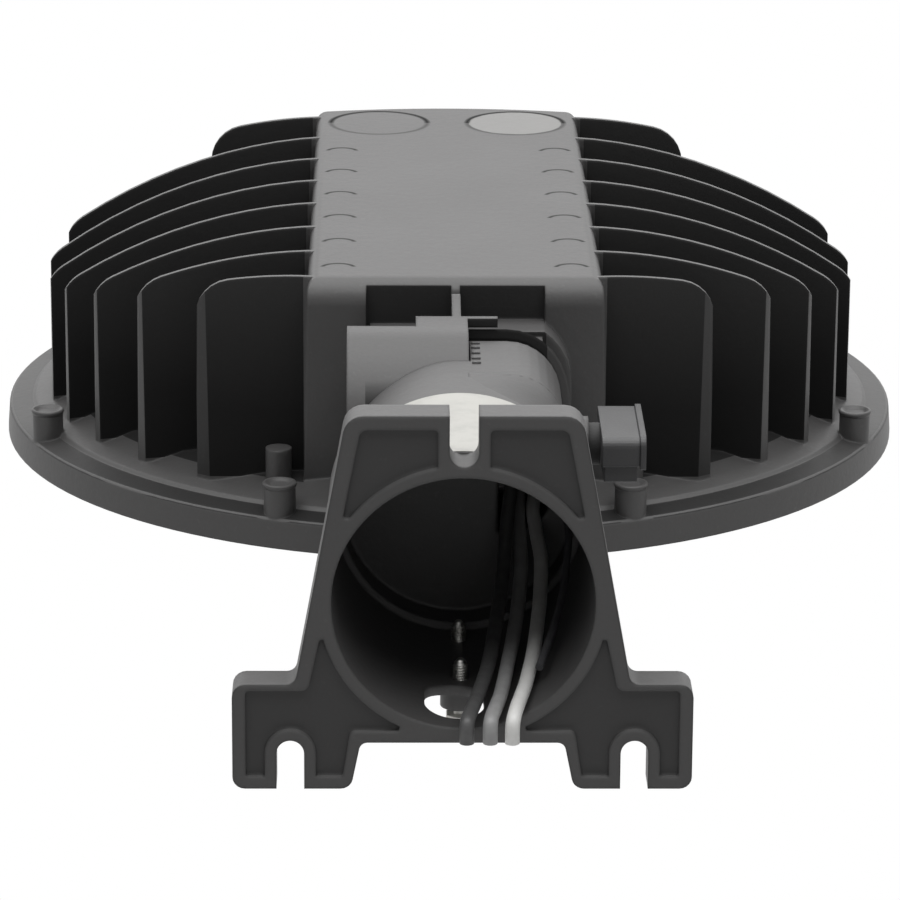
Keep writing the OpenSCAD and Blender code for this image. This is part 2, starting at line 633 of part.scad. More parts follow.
module board_screws() color([0.8, 0.8, 0.8]) head_place()
    at_board_posts() translate([0, 0, board_z]) small_screw(board_t + screw_bite);

module lens_gasket() color([0.15, 0.15, 0.15]) head_place() translate([0, 0, gasket_z]) difference() {
    cylinder(r = lens_r, h = gasket_t);
    translate([0, 0, -past]) cylinder(r = lens_r - gasket_w, h = gasket_t + 2 * past);
}

// Lens with a raised edge on which the gasket lies and a slightly dished middle
module lens() color([0.92, 0.95, 0.97, 0.6]) head_place() translate([0, 0, lens_z]) rotate_extrude()
    polygon([[0, 0.6], [lens_r - ring_lap - 6, 0.6], [lens_r - ring_lap - 4, 0], [lens_r, 0], [lens_r, lens_t],
        [0, lens_t]]);

module lens_ring() color([0.26, 0.25, 0.24]) head_place() difference() {
    rotate_extrude() polygon([[lens_r - ring_lap, 0.8], [lens_r - ring_lap + 1.5, 0], [ring_out_r - 0.3, 0],
        [ring_out_r, 0.3], [ring_out_r, ring_t], [lens_r - ring_lap, ring_t]]);
    at_posts() translate([0, 0, -eps]) cylinder(r1 = small_head_r, r2 = small_r, h = small_head_h + eps);
    at_posts() translate([0, 0, -past]) cylinder(r = small_r, h = ring_t + 2 * past);
}

module ring_screws() color([0.8, 0.8, 0.8]) head_place() at_posts() difference() {
    union() {
        cylinder(r1 = small_head_r, r2 = small_r, h = small_head_h);
        cylinder(r = small_r, h = post_h - 3);
    }
    translate([0, 0, -eps]) cylinder(r = small_r * 0.6, h = small_head_h * 0.7, $fn = 6);
}

// Half of the plate's outline, as corners with their radii
function plate_half() = [[foot_in_x, -foot_arch, 2], [foot_in_x + 2.4, -foot_bottom, 3],
    [foot_out_x, -foot_bottom, 3], [foot_out_x, -foot_top, 3.4], [plate_low_x, -foot_top, 2.5],
    [plate_top_x, plate_top, plate_corner_r]];
function flipped(pts) = [for (i = [len(pts) - 1:-1:0]) [-pts[i][0], pts[i][1], pts[i][2]]];

// Distance of the plate's side edge from the middle plane at height z
function plate_side(z) = plate_top_x + (plate_low_x - plate_top_x) * (plate_top - z) / (plate_top + foot_top);

// Slot with one round end at z = 0, open towards -Z
module open_slot_2d(w) {
    translate([0, -w / 2]) circle(d = w);
    translate([-w / 2, -w / 2 - foot_bottom]) square([w, foot_bottom]);
}

// Recess on one side: everything inside the rim, less the rims round bore and slot
module recess_2d() {
    z_top = plate_top - rim_w;
    z_mid = bore_r * 0.68;
    z_foot = -foot_top - 1.6;
    z_arch = -foot_arch + rim_w - 0.5;
    z_low = -foot_bottom + rim_w - 0.3;
    difference() {
        union() {
            polygon(rounded([[top_slot_w / 2 + rim_w - 0.7, z_top, 1], [plate_side(z_top) - rim_w - 0.6, z_top, 2],
                [plate_side(z_mid) - rim_w - 0.4, z_mid, 0.6], [top_slot_w / 2 + rim_w - 0.7, z_mid, 0]]));
            polygon(rounded([[plate_side(-9) - rim_w - 0.4, -9, 0.6], [plate_side(z_foot) - rim_w, z_foot, 2],
                [foot_out_x - rim_w + 0.2, z_foot, 1], [foot_out_x - rim_w + 0.2, z_low, 0.6],
                [foot_in_x + rim_w + 0.9, z_low, 0.6], [foot_in_x + rim_w - 0.9, z_arch, 1.5],
                [bore_r * 0.48, z_arch, 0.6], [bore_r * 0.48, -9, 0]]));
        }
        circle(r = bore_r + rim_w - 0.4);
        translate([slot_x, -foot_slot_end + rim_w - 0.6]) open_slot_2d(foot_slot_w + 2 * (rim_w - 0.6));
    }
}

module slab_y(y1, y2) translate([0, y2, 0]) rotate([90, 0, 0]) linear_extrude(y2 - y1) children();

module at_clamp_screws() for (y = [screw_near_y, screw_far_y]) translate([0, y, 0]) children();

module arm() color([0.26, 0.25, 0.24]) difference() {
    union() {
        slab_y(0, plate_t) polygon(rounded(concat(plate_half(), flipped(plate_half()))));
        along_y(0, wall_y2, tube_r1, tube_r2);
        // Left half of the tube runs on to the socket
        intersection() {
            along_y(wall_y2 - past, hinge_y, tube_r2, tube_r2);
            translate([-cut_reach, wall_y2 - past, hinge_z]) cube([cut_reach + drum_left, cut_reach, cut_reach]);
        }
        // Rounded shoulder where the tube meets the drum
        intersection() {
            translate([0, wall_y2 - past, 0]) rotate([-90, 0, 0]) rotate_extrude()
                polygon(concat([[0, 0], [tube_r2, 0]], arc([tube_r2 - drum_corner_r, past + 2], drum_corner_r, 0, 80, 10),
                    [[0, past + 2 + drum_corner_r * sin(80)]]));
            translate([drum_left, wall_y2 - past, hinge_z - drum_r]) cube([cut_reach, cut_reach, cut_reach]);
        }
        drum(drum_left, drum_right, drum_r, drum_corner_r, [hinge_y, hinge_z]);
        drum_bar(drum_left, drum_right, drum_r, drum_corner_r, wall_y2 - past, hinge_y, hinge_z);
        at_clamp_screws() translate([0, 0, -boss_bottom]) cylinder(r = boss_r, h = boss_depth + 2);
        // Boss for the light sensor
        translate([0, sensor_y, sensor_mid_z]) rotate([0, 90, 0]) cylinder(r = stem_r + 3, h = collar_seat);
    }
    // Bore for the pipe, its stop and the narrower end
    along_y(-past, bore_depth, bore_r, bore_r);
    along_y(bore_depth - past, wall_y1, inner_r, inner_r);
    intersection() {
        along_y(wall_y1 - past, hinge_y, inner_r, inner_r);
        difference() {
            translate([-cut_reach, wall_y1 - past, hinge_z]) cube([cut_reach + drum_left, cut_reach, cut_reach]);
            along_x(-cut_reach - past, drum_left + past, shell_r, [hinge_y, hinge_z]);
        }
    }
    // Socket for the head's barrel
    along_x(-cut_reach, drum_left, socket_r, [hinge_y, hinge_z]);
    // Wire passage and the drum's hollow
    drum_bar(web_right, drum_right - cast_wall, drum_r - cast_wall, drum_corner_r - cast_wall, wall_y1 - past,
        hinge_y, hinge_z);
    drum(web_right, drum_right - cast_wall, drum_r - cast_wall, drum_corner_r - cast_wall, [hinge_y, hinge_z]);
    wire_window(hinge_y, hinge_y + 2 * drum_r, hinge_z);
    along_x(drum_left - past, web_right + past, bolt_r, [hinge_y, hinge_z]);
    // Slots in the plate
    for (s = [-1, 1]) translate([s * slot_x, 0, -foot_slot_end]) slab_y(-past, plate_t + past)
        open_slot_2d(foot_slot_w);
    translate([0, 0, top_slot_end]) slab_y(-past, plate_t + past) rotate(180) open_slot_2d(top_slot_w);
    // Shallow recesses in the rear face
    for (s = [0, 1]) mirror([s, 0, 0]) slab_y(-past, recess_depth) recess_2d();
    // Cable slot in the underside
    translate([slot_off, slot_y, -boss_bottom - past]) linear_extrude(boss_bottom) {
        for (s = [-1, 1]) translate([0, s * (slot_l - slot_w) / 2]) circle(d = slot_w);
        translate([-slot_w / 2, -(slot_l - slot_w) / 2]) square([slot_w, slot_l - slot_w]);
    }
    at_clamp_screws() translate([0, 0, -boss_bottom - past]) cylinder(r = screw_r + screw_gap, h = boss_bottom);
    translate([0, sensor_y, sensor_mid_z]) rotate([0, 90, 0]) cylinder(r = stem_r, h = 2 * tube_r1);
}

// Round window for the wires between the drum's hollow and the head
module wire_window(y1, y2, z) translate([(web_right + drum_right - cast_wall) / 2, y1, z]) rotate([-90, 0, 0])
    cylinder(r = 5.5, h = y2 - y1);

module hinge_place() translate([0, hinge_y, hinge_z]) rotate([0, 90, 0]) children();

module hinge_bolt() color([0.7, 0.7, 0.7]) hinge_place() {
    translate([0, 0, -bolt_head_x - seat_gap - washer_t - bolt_head_h]) cylinder(r = bolt_head_r, h = bolt_head_h, $fn = 6);
    translate([0, 0, -bolt_head_x - seat_gap - washer_t - eps])
        cylinder(r = bolt_r, h = bolt_head_x + seat_gap + washer_t + web_right + nut_t + 1.5);
}

module hinge_washer() color([0.78, 0.78, 0.78]) hinge_place() translate([0, 0, -bolt_head_x - seat_gap - washer_t])
    difference() {
        cylinder(r = washer_r, h = washer_t);
        translate([0, 0, -past]) cylinder(r = bolt_r, h = washer_t + 2 * past);
    }

module hinge_nut() color([0.7, 0.7, 0.7]) hinge_place() translate([0, 0, web_right]) difference() {
    cylinder(r = bolt_head_r, h = nut_t, $fn = 6);
    translate([0, 0, -past]) cylinder(r = bolt_r, h = nut_t + 2 * past);
}

// Clamp screw with a hexagon head under its boss and a narrower point in the bore
module clamp_screw(y) color([0.8, 0.8, 0.78]) translate([0, y, 0]) {
    translate([0, 0, -boss_bottom - face_gap - screw_head_h]) cylinder(r = screw_head_r, h = screw_head_h, $fn = 6);
    translate([0, 0, -boss_bottom - face_gap - eps]) cylinder(r = screw_r, h = boss_bottom + face_gap - screw_tip - 1.5);
    translate([0, 0, -screw_tip - 1.5 - 2 * eps]) cylinder(r1 = screw_r, r2 = screw_r - 1.2, h = 1.5);
}
module clamp_screw_near() clamp_screw(screw_near_y);
module clamp_screw_far() clamp_screw(screw_far_y);

// Blank label laid round the top of the tube
module arm_label() color([0.9, 0.9, 0.88]) rotate([-90, 0, 0]) rotate(270 - label_angle / 2)
    rotate_extrude(angle = label_angle) polygon([[tube_at(label_y), label_y], [tube_at(label_y) + label_t, label_y],
        [tube_at(label_y + label_l) + label_t, label_y + label_l], [tube_at(label_y + label_l), label_y + label_l]]);
label_y = plate_t + 1.5;
function tube_at(y) = tube_r1 + (tube_r2 - tube_r1) * y / wall_y2;

module lead_white() color([0.93, 0.93, 0.91]) tube_along(white_pts, lead_d);
module lead_grey() color([0.62, 0.62, 0.62]) tube_along(grey_pts, lead_d);
module lead_black() color([0.16, 0.16, 0.16]) tube_along(black_pts, lead_d);
module sensor_lead_a() color([0.4, 0.4, 0.4]) tube_along(thin_a_pts, thin_d);
module sensor_lead_b() color([0.5, 0.5, 0.5]) tube_along(thin_b_pts, thin_d);

// Rubber collar and hollow stem that carry the sensor
module sensor_collar() color([0.18, 0.18, 0.18]) translate([0, sensor_y, sensor_mid_z]) rotate([0, 90, 0]) {
    translate([0, 0, collar_seat]) cylinder(r = stem_r + 1.4, h = collar_l);
    translate([0, 0, stem_in]) cylinder(r = stem_r, h = collar_seat - stem_in + eps);
}
stem_in = 24;

// Box with rounded near and far top edges, its length along the arm
module sensor_box(x1, x2, len_y, z1, z2, r) translate([x1, 0, 0]) rotate([90, 0, 90]) linear_extrude(x2 - x1)
    polygon(rounded([[sensor_y - len_y / 2, z1, 0.6], [sensor_y + len_y / 2, z1, 0.6],
        [sensor_y + len_y / 2, z2, r], [sensor_y - len_y / 2, z2, r]]));

module sensor_body() color([0.24, 0.24, 0.24])
    sensor_box(sensor_x1, sensor_x1 + sensor_w, sensor_l, sensor_top - sensor_h, sensor_top, 2.4);
module sensor_lip_plate() color([0.2, 0.2, 0.2])
    sensor_box(sensor_x1 + sensor_w, sensor_x1 + sensor_w + sensor_lip, sensor_l + 1, sensor_top - sensor_h - 0.6,
        sensor_top + 0.5, 2.6);
module sensor_block() color([0.3, 0.3, 0.3])
    sensor_box(sensor_x1 + 0.6, sensor_x1 + sensor_w - 0.6, sensor_l - 3, sensor_top - sensor_h - sensor_block_h,
        sensor_top - sensor_h, 0.4);

housing();
driver();
driver_screws();
led_board();
leds();
board_screws();
lens_gasket();
lens();
lens_ring();
ring_screws();
arm();
hinge_bolt();
hinge_washer();
hinge_nut();
clamp_screw_near();
clamp_screw_far();
arm_label();
lead_white();
lead_grey();
lead_black();
sensor_collar();
sensor_body();
sensor_lip_plate();
sensor_block();
sensor_lead_a();
sensor_lead_b();
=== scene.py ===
# %% [markdown]
# # Arm-mounted street light
# A round finned head tilts on a knuckle at the end of a cast arm, whose foot plate faces the camera.
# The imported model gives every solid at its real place. This lesson gives each of them a finish and
# adds the small things that a casting shop, an electrician and a screw machine leave on the real one.

# %% Load the frame
import math
import bpy
import bmesh
from mathutils import Matrix, Vector


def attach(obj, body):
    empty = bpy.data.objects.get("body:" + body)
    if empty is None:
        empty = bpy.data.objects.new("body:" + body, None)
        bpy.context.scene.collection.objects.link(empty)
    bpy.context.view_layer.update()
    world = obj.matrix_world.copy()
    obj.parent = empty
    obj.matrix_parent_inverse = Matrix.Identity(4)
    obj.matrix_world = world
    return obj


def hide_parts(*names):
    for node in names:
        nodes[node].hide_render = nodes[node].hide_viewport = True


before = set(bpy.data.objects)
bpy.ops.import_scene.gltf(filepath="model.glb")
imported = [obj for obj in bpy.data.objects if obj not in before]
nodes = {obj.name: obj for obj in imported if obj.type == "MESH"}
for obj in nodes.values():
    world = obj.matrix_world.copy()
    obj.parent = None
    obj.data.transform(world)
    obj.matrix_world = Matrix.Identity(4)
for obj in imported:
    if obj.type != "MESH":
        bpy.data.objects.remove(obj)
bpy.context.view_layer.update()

# %% [markdown]
# The camera comes first. It stands about 1.3 m from the head, looks down by some 17.6 degrees, and is turned
# and rolled by less than a degree, as the edges of the plate and the flange in the photograph require.
# A rotation built from three axes is easier to check than three Euler angles.

# %% Camera
EYE = Vector((-0.0199, -1.0536, 0.3728))
PITCH = math.radians(17.59)
YAW = math.radians(0.895)
ROLL = math.radians(0.338)
FOCAL_LENGTH = 186.9
SENSOR_WIDTH = 36
NEAR_CLIP = 0.05
FAR_CLIP = 40


def add_piece(name, data):
    """A new object with its origin at the frame's origin."""
    piece = bpy.data.objects.new(name, data)
    bpy.context.scene.collection.objects.link(piece)
    return piece


def camera_axes(pitch, yaw, roll):
    """Right, up and backward axes of a camera that looks along +Y when all angles are zero."""
    level_reach = math.cos(pitch)
    forward = Vector((math.sin(yaw) * level_reach, math.cos(yaw) * level_reach, -math.sin(pitch)))
    level = Vector((math.cos(yaw), -math.sin(yaw), 0))
    above = level.cross(forward)
    right = math.cos(roll) * level + math.sin(roll) * above
    up = math.cos(roll) * above - math.sin(roll) * level
    return right, up, -forward


camera_data = bpy.data.cameras.new("product_camera")
camera_data.lens = FOCAL_LENGTH
camera_data.sensor_width = SENSOR_WIDTH
camera_data.clip_start = NEAR_CLIP
camera_data.clip_end = FAR_CLIP
camera = add_piece("product_camera", camera_data)
turn = Matrix(camera_axes(PITCH, YAW, ROLL)).transposed()
camera.matrix_world = Matrix.Translation(EYE) @ turn.to_4x4()
bpy.context.scene.camera = camera
print("camera at", tuple(round(v, 3) for v in EYE))

# %% [markdown]
# Five leads run in the bore. Three come out of the knuckle and hang over the bore's lower rim. Two thin ones
# belong to the light sensor: one goes on into the knuckle and the other ends in the bore. A smooth curve
# through a few chosen points gives a lead its droop, and the points are the ones that the solid model uses,
# so that the looks and the solids lie in the same place.

# %% Lead routes
MM = 0.001
LEAD_END_Z = -32.5
LEAD_POINTS = {
    "white": [(10.4, 94, -0.6), (14, 94, -0.6), (18.2, 93, -0.4), (19.7, 88, -0.6), (19.1, 81, -2.9),
              (19.8, 75, -6.9), (20.8, 66, -11.2), (20.4, 56, -15.2), (19.6, 44, -17.6), (17.8, 26, -21.2),
              (15.6, 12, -24.2), (14, 4, -25.4), (13.2, 0, -25.8), (12.5, -4, -26.2), (12, -6.8, -27.2),
              (11.8, -7.6, -28.9), (11.8, -7.6, LEAD_END_Z)],
    "grey": [(10.4, 90, 4), (13.8, 90, 4), (15.4, 88, 3), (15.2, 82, -0.6), (15.4, 76, -6.5),
             (15.8, 68, -12), (15.2, 58, -17), (13.6, 42, -21), (11.6, 26, -24), (9.4, 10, -26.6),
             (8, 2, -27), (7.4, -1.5, -27), (6.9, -4.6, -27), (6.6, -6.9, -27.5), (6.5, -7.6, -28.9),
             (6.5, -7.6, LEAD_END_Z)],
    "black": [(10.45, 85, 10), (13, 85, 10), (14, 82.6, 8.6), (13.4, 78, 4), (12.4, 73, -3), (11.6, 67, -10),
              (10.6, 58, -16.4), (9, 44, -20), (6.8, 26, -24.4), (3.8, 10, -27), (2.4, 2, -27.2),
              (1.8, -1.5, -27.2), (1.3, -4.6, -27.2), (1, -6.9, -27.6), (0.9, -7.6, -28.9),
              (0.9, -7.6, LEAD_END_Z)],
    "sensor_a": [(23.7, 74.5, 15), (21.4, 74.5, 15), (20.7, 72.2, 11.8), (24.6, 67, 7), (27.2, 58, 0),
                 (26.4, 48, -7.4), (25, 39, -12.6), (22.6, 28, -16.4), (20, 18, -19.5), (18.8, 13, -20.8)],
    "sensor_b": [(23.7, 74.5, 18.6), (21.4, 74.5, 18.6), (19, 76.6, 17), (18.4, 83, 14.6), (16.6, 91, 14),
                 (13.4, 94, 14), (10.35, 94, 14)],
}
LEAD_DIAMETER = {"white": 3.6, "grey": 3.6, "black": 3.6, "sensor_a": 2.0, "sensor_b": 2.0}
CURVE_STEPS = 4
SECTION_DETAIL = 5
CORE_R = 0.0008
CORE_LENGTH = 0.0016
CORE_PROUD = 0.00005
CORE_BEVEL = 0.00015
CORE_SIDES = 24


def bevel(shape, edges, offset, segments=2):
    bmesh.ops.bevel(shape, geom=edges, offset=offset, segments=segments, profile=0.5, affect="EDGES",
                    material=-1)


def piece_from(name, shape, material=None):
    """A piece with the mesh that was built in a bmesh, which is freed."""
    mesh = bpy.data.meshes.new(name)
    shape.to_mesh(mesh)
    shape.free()
    if material:
        mesh.materials.append(material)
    return add_piece(name, mesh)


def through(points, steps):
    """Points in metres on the smooth curve that passes through every given point in millimetres."""
    found = []
    last = len(points) - 1
    for i in range(last):
        a = Vector(points[max(i - 1, 0)])
        b = Vector(points[i])
        c = Vector(points[i + 1])
        d = Vector(points[min(i + 2, last)])
        for k in range(steps):
            t = k / steps
            bend = (2 * a - 5 * b + 4 * c - d) * t * t + (3 * b - a - 3 * c + d) * t ** 3
            found.append(0.5 * (2 * b + (c - a) * t + bend) * MM)
    found.append(Vector(points[last]) * MM)
    return found


def lead_curve(name, points, diameter):
    """A round lead as one open spline with a round section, whose size is the radius of its points."""
    data = bpy.data.curves.new(name, "CURVE")
    data.dimensions = "3D"
    data.bevel_depth = 1
    data.bevel_resolution = SECTION_DETAIL
    data.use_fill_caps = True
    spline = data.splines.new("POLY")
    spline.points.add(len(points) - 1)
    for place, point in zip(spline.points, points):
        place.co = (*point, 1)
        place.radius = diameter / 2
    spline.use_smooth = True
    return add_piece(name, data)


def copper_core(name, end, before):
    """The bare conductor that shows at a cut end: a short rod along the lead's last stretch."""
    shape = bmesh.new()
    turn = (end - before).to_track_quat("Z", "Y").to_matrix().to_4x4()
    inward = CORE_LENGTH / 2 - CORE_PROUD
    middle = end + inward * (before - end).normalized()
    bmesh.ops.create_cone(shape, cap_ends=True, segments=CORE_SIDES, radius1=CORE_R, radius2=CORE_R,
                          depth=CORE_LENGTH, matrix=Matrix.Translation(middle) @ turn)
    rims = [edge for edge in shape.edges if edge.calc_face_angle(0) > 1]
    bevel(shape, rims, CORE_BEVEL)
    core = piece_from(name, shape)
    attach(core, "arm_body")
    return core


leads = {}
cores = []
for key, points in LEAD_POINTS.items():
    route = through(points, CURVE_STEPS)
    thin = key.startswith("sensor_")
    node = key.replace("sensor_", "sensor_lead_") if thin else "lead_" + key
    piece = lead_curve("soft_" + node, route, LEAD_DIAMETER[key] * MM)
    length = sum((b - a).length for a, b in zip(route, route[1:]))
    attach(piece, "arm_body")
    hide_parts(node)
    ends = []
    if not thin:
        ends.append(copper_core("core_" + key, route[-1], route[-2]))
        cores += ends
    leads[key] = piece
    print(piece.name, "is", round(length * 1000), "mm long")

# %% [markdown]
# Shader maths reads best as ordinary arithmetic. The small class below wraps a socket, and each operator adds
# a Math node behind the scenes. Every other node comes from one method of the Finish class, which takes the
# node's type, its settings and what goes into its sockets.

# %% A small language for finishes
# Outputs of the Texture Coordinate node: the surface normal and the place, both in the piece's own axes
NORMAL = 1
PLACE = 3
BEVEL_SAMPLES = 6


class Value:
    """A number on the node tree, with the arithmetic of a number."""

    def __init__(self, finish, socket):
        self.finish = finish
        self.socket = socket

    def math(self, operation, *parts):
        return self.finish.node("ShaderNodeMath", {"operation": operation}, dict(enumerate(parts)))

    def __add__(self, other):
        return self.math("ADD", self, other)

    __radd__ = __add__

    def __sub__(self, other):
        return self.math("SUBTRACT", self, other)

    def __rsub__(self, other):
        return self.math("SUBTRACT", other, self)

    def __mul__(self, other):
        return self.math("MULTIPLY", self, other)

    __rmul__ = __mul__

    def __truediv__(self, other):
        return self.math("DIVIDE", self, other)

    def __pow__(self, other):
        return self.math("POWER", self, other)

    def above(self, edge):
        return self.math("GREATER_THAN", self, edge)

    def absolute(self):
        return self.math("ABSOLUTE", self)

    def fraction(self):
        return self.math("FRACT", self)

    def sine(self):
        return self.math("SINE", self)

    def clipped(self):
        return self.math("MINIMUM", self.math("MAXIMUM", self, 0.0), 1.0)


class Finish:
    """One material: a Principled shader and the nodes that feed it."""

    def __init__(self, name, constants=None):
        self.material = bpy.data.materials.new(name)
        self.material.use_nodes = True
        self.tree = self.material.node_tree
        self.shader = self.tree.nodes["Principled BSDF"]
        for socket, value in (constants or {}).items():
            self.shader.inputs[socket].default_value = value

    def node(self, kind, settings=None, sockets=None, output=0):
        made = self.tree.nodes.new(kind)
        for name, value in (settings or {}).items():
            if name == "stops":
                self.fill_ramp(made.color_ramp, value)
            else:
                setattr(made, name, value)
        for name, value in (sockets or {}).items():
            self.feed(made.inputs[name], value)
        return Value(self, made.outputs[output])

    def fill_ramp(self, ramp, stops):
        """Set the two stops that a new colour ramp has."""
        for element, (place, level) in zip(ramp.elements, stops):
            element.position = place
            element.color = (level, level, level, 1)

    def feed(self, socket, value):
        if isinstance(value, Value):
            self.tree.links.new(value.socket, socket)
        else:
            socket.default_value = value

    def coordinates(self, kind=PLACE):
        return self.node("ShaderNodeTexCoord", output=kind)

    def axis(self, which, kind=PLACE):
        where = self.coordinates(kind)
        return self.node("ShaderNodeSeparateXYZ", None, {0: where}, output="XYZ".index(which))

    def noise(self, size, detail=2.0, roughness=0.5, stretch=None):
        where = self.coordinates()
        if stretch:
            where = self.node("ShaderNodeMapping", None, {"Vector": where, "Scale": stretch})
        return self.node("ShaderNodeTexNoise", None,
                         {"Vector": where, "Scale": 1 / size, "Detail": detail, "Roughness": roughness})

    def ramp(self, value, *stops):
        return self.node("ShaderNodeValToRGB", {"stops": stops}, {0: value})

    def mix(self, factor, first, second):
        colours = {"Factor": factor, 6: first, 7: second}
        return self.node("ShaderNodeMix", {"data_type": "RGBA"}, colours, output=2)

    def bump(self, height, distance, strength=1.0, rounded=None):
        sockets = {"Height": height, "Distance": distance, "Strength": strength}
        if rounded:
            sockets["Normal"] = rounded
        return self.node("ShaderNodeBump", None, sockets)

    def rounded_edges(self, radius):
        return self.node("ShaderNodeBevel", {"samples": BEVEL_SAMPLES}, {"Radius": radius})

    def into(self, **links):
        for socket, value in links.items():
            self.feed(self.shader.inputs[socket.replace("_", " ").title()], value)
        return self.material


def rgba(red, green, blue):
    return (red, green, blue, 1.0)


# %% [markdown]
# The castings wear a dark grey powder coat. A baked powder coat is never quite flat: it has a fine
# orange-peel skin, a rougher patch here and there and a few pale specks. Noise at four sizes gives these, and
# a Bevel node rounds the cast edges where the light catches them. Shade is painted into the coat too: the
# fins' flanks that face the arm, the floors between them, the channel in the flange and the recesses of the
# foot plate are painted darker than the ridges, with a matte near-black layer mixed in, as painted shade.
# The driver box carries what the casting die leaves: a shallow mark of an ejector pin beside every gap and
# two round insert marks near the far end. The dents aren't modelled: each mark is a dark line painted on the
# box's top, darkest on its far side, as painted shade of the dent's wall.

# %% Powder coat
# The head's own origin, its driver box, the gaps between its fins and the channel in its flange
HEAD_Y = 0.239
HEAD_Z = -0.0273
BOX_TOP_Z = HEAD_Z + 0.0685
BOX_SIDE_X = 0.0405
POCKET_SIDE_X = 0.0238
FIN_FACE_Y = 0.0944
FIN_CIRCLE_R = 0.1146
GAP_FLOOR_R = 0.1085
CHANNEL_R = 0.1199
FLANK_LOW_Z = HEAD_Z + 0.0125
FLOOR_HIGH_Z = HEAD_Z + 0.016
# Depth of the recesses in the foot plate
RECESS_DEPTH = 0.0012
# Ejector marks: places, radius, width of the line and the part of the circle that stays open
FIN_PITCH = 0.0258
PIN_X = 0.0313
PIN_FIRST_Y = HEAD_Y - 0.0855
PIN_LAST_Y = HEAD_Y + 0.0467
PIN_R = 0.0044
PIN_LINE = 0.0016
PIN_OPEN = 0.0012
PIN_MARGIN = 0.01
# Insert marks: radius, width of the line, unevenness of the disc's edge, then places and paleness of discs
INSERT_R = 0.0145
INSERT_LINE = 0.0022
INSERT_WAVER = 0.0012
INSERTS = ((-0.0204, HEAD_Y + 0.0794, 0.0), (0.0206, HEAD_Y + 0.0792, 0.6))
MARK_DEPTH = 0.0004
# Rounding that the light shows on cast edges
ARM_EDGE_R = 0.0016
HEAD_EDGE_R = 0.001
# Sizes of the coat's noise, and the height of its orange peel
CLOUD_SIZE = 0.035
PEEL_SIZE = 0.0028
SPECK_SIZE = 0.0016
GRAIN_SIZE = 0.0009
PEEL_HEIGHT = 0.00022
COAT_DARK = rgba(0.052, 0.051, 0.051)
COAT_PALE = rgba(0.074, 0.0725, 0.072)
COAT_SPECK = rgba(0.16, 0.155, 0.15)
# Painted shade: a near-black tone and a matte layer for flanks, floors, channel and recesses, and the
# near-black of the marks, painted shade of their dents' walls
COAT_PAINTED_SHADE = rgba(0.006, 0.006, 0.006)
COAT_PAINTED_SHADE_MATTE = rgba(0.007, 0.007, 0.007)
MARK_PAINTED_SHADE = rgba(0.003, 0.003, 0.003)
DISC_TONE = rgba(0.24, 0.238, 0.23)


class Coat(Finish):
    """Powder coat with its noise layers ready for use."""

    def __init__(self, name):
        super().__init__(name, {"Specular IOR Level": 0.42})
        self.cloud = self.ramp(self.noise(CLOUD_SIZE, 3.0, 0.55), (0.3, 0.0), (0.7, 1.0))
        self.grain = self.noise(GRAIN_SIZE, 2.0, 0.6)
        self.peel = self.noise(PEEL_SIZE, 2.0, 0.5)
        speck = self.ramp(self.noise(SPECK_SIZE, 1.0, 0.4), (0.68, 0.0), (0.76, 1.0))
        colour = self.mix(0.3 * self.cloud + 0.4 * self.grain, COAT_DARK, COAT_PALE)
        self.colour = self.mix(0.08 * speck, colour, COAT_SPECK)
        self.skin = 0.7 * self.peel + 0.3 * self.grain
        self.dullness = 0.5 + 0.04 * self.cloud - 0.04 * self.grain

    def finished(self, edge_radius):
        rounded = self.rounded_edges(edge_radius)
        return self.into(base_color=self.colour, roughness=self.dullness,
                         normal=self.bump(self.skin, PEEL_HEIGHT, 0.5, rounded))

    def finished_with_painted_shade(self, painted_shade, edge_radius):
        """The coat with a matte near-black layer mixed in where the factor says, as painted shade."""
        self.finished(edge_radius)
        # Painted shade: a matte near-black layer that takes the coat's gloss away
        thin = self.node("ShaderNodeBsdfDiffuse", None, {"Color": COAT_PAINTED_SHADE_MATTE, "Roughness": 1.0})
        glossy = Value(self, self.shader.outputs[0])
        both = self.node("ShaderNodeMixShader", None, {0: painted_shade, 1: glossy, 2: thin})
        self.tree.links.new(both.socket, self.tree.nodes["Material Output"].inputs["Surface"])
        return self.material

    def band(self, value, low, high):
        """One between two limits and zero outside them."""
        return value.above(low) * (1 - value.above(high))

    def ring(self, distance, radius, width):
        """One on a circle, falling to zero at half a width from it."""
        return (1 - (distance - radius).absolute() / (0.5 * width)).clipped()


def arm_coat():
    paint = Coat("arm_powder_coat")
    # Painted shade in the foot plate's recesses: faces toward the foot at the recess depth are darkened and
    # take the matte layer
    towards_foot = 0 - paint.axis("Y", NORMAL)
    at_depth = paint.band(paint.axis("Y"), 0.5 * RECESS_DEPTH, 1.5 * RECESS_DEPTH)
    recess_shade = at_depth * towards_foot.above(0.8)
    paint.colour = paint.mix(0.4 * recess_shade, paint.colour, COAT_PAINTED_SHADE)
    return paint.finished_with_painted_shade(0.2 * recess_shade, ARM_EDGE_R)


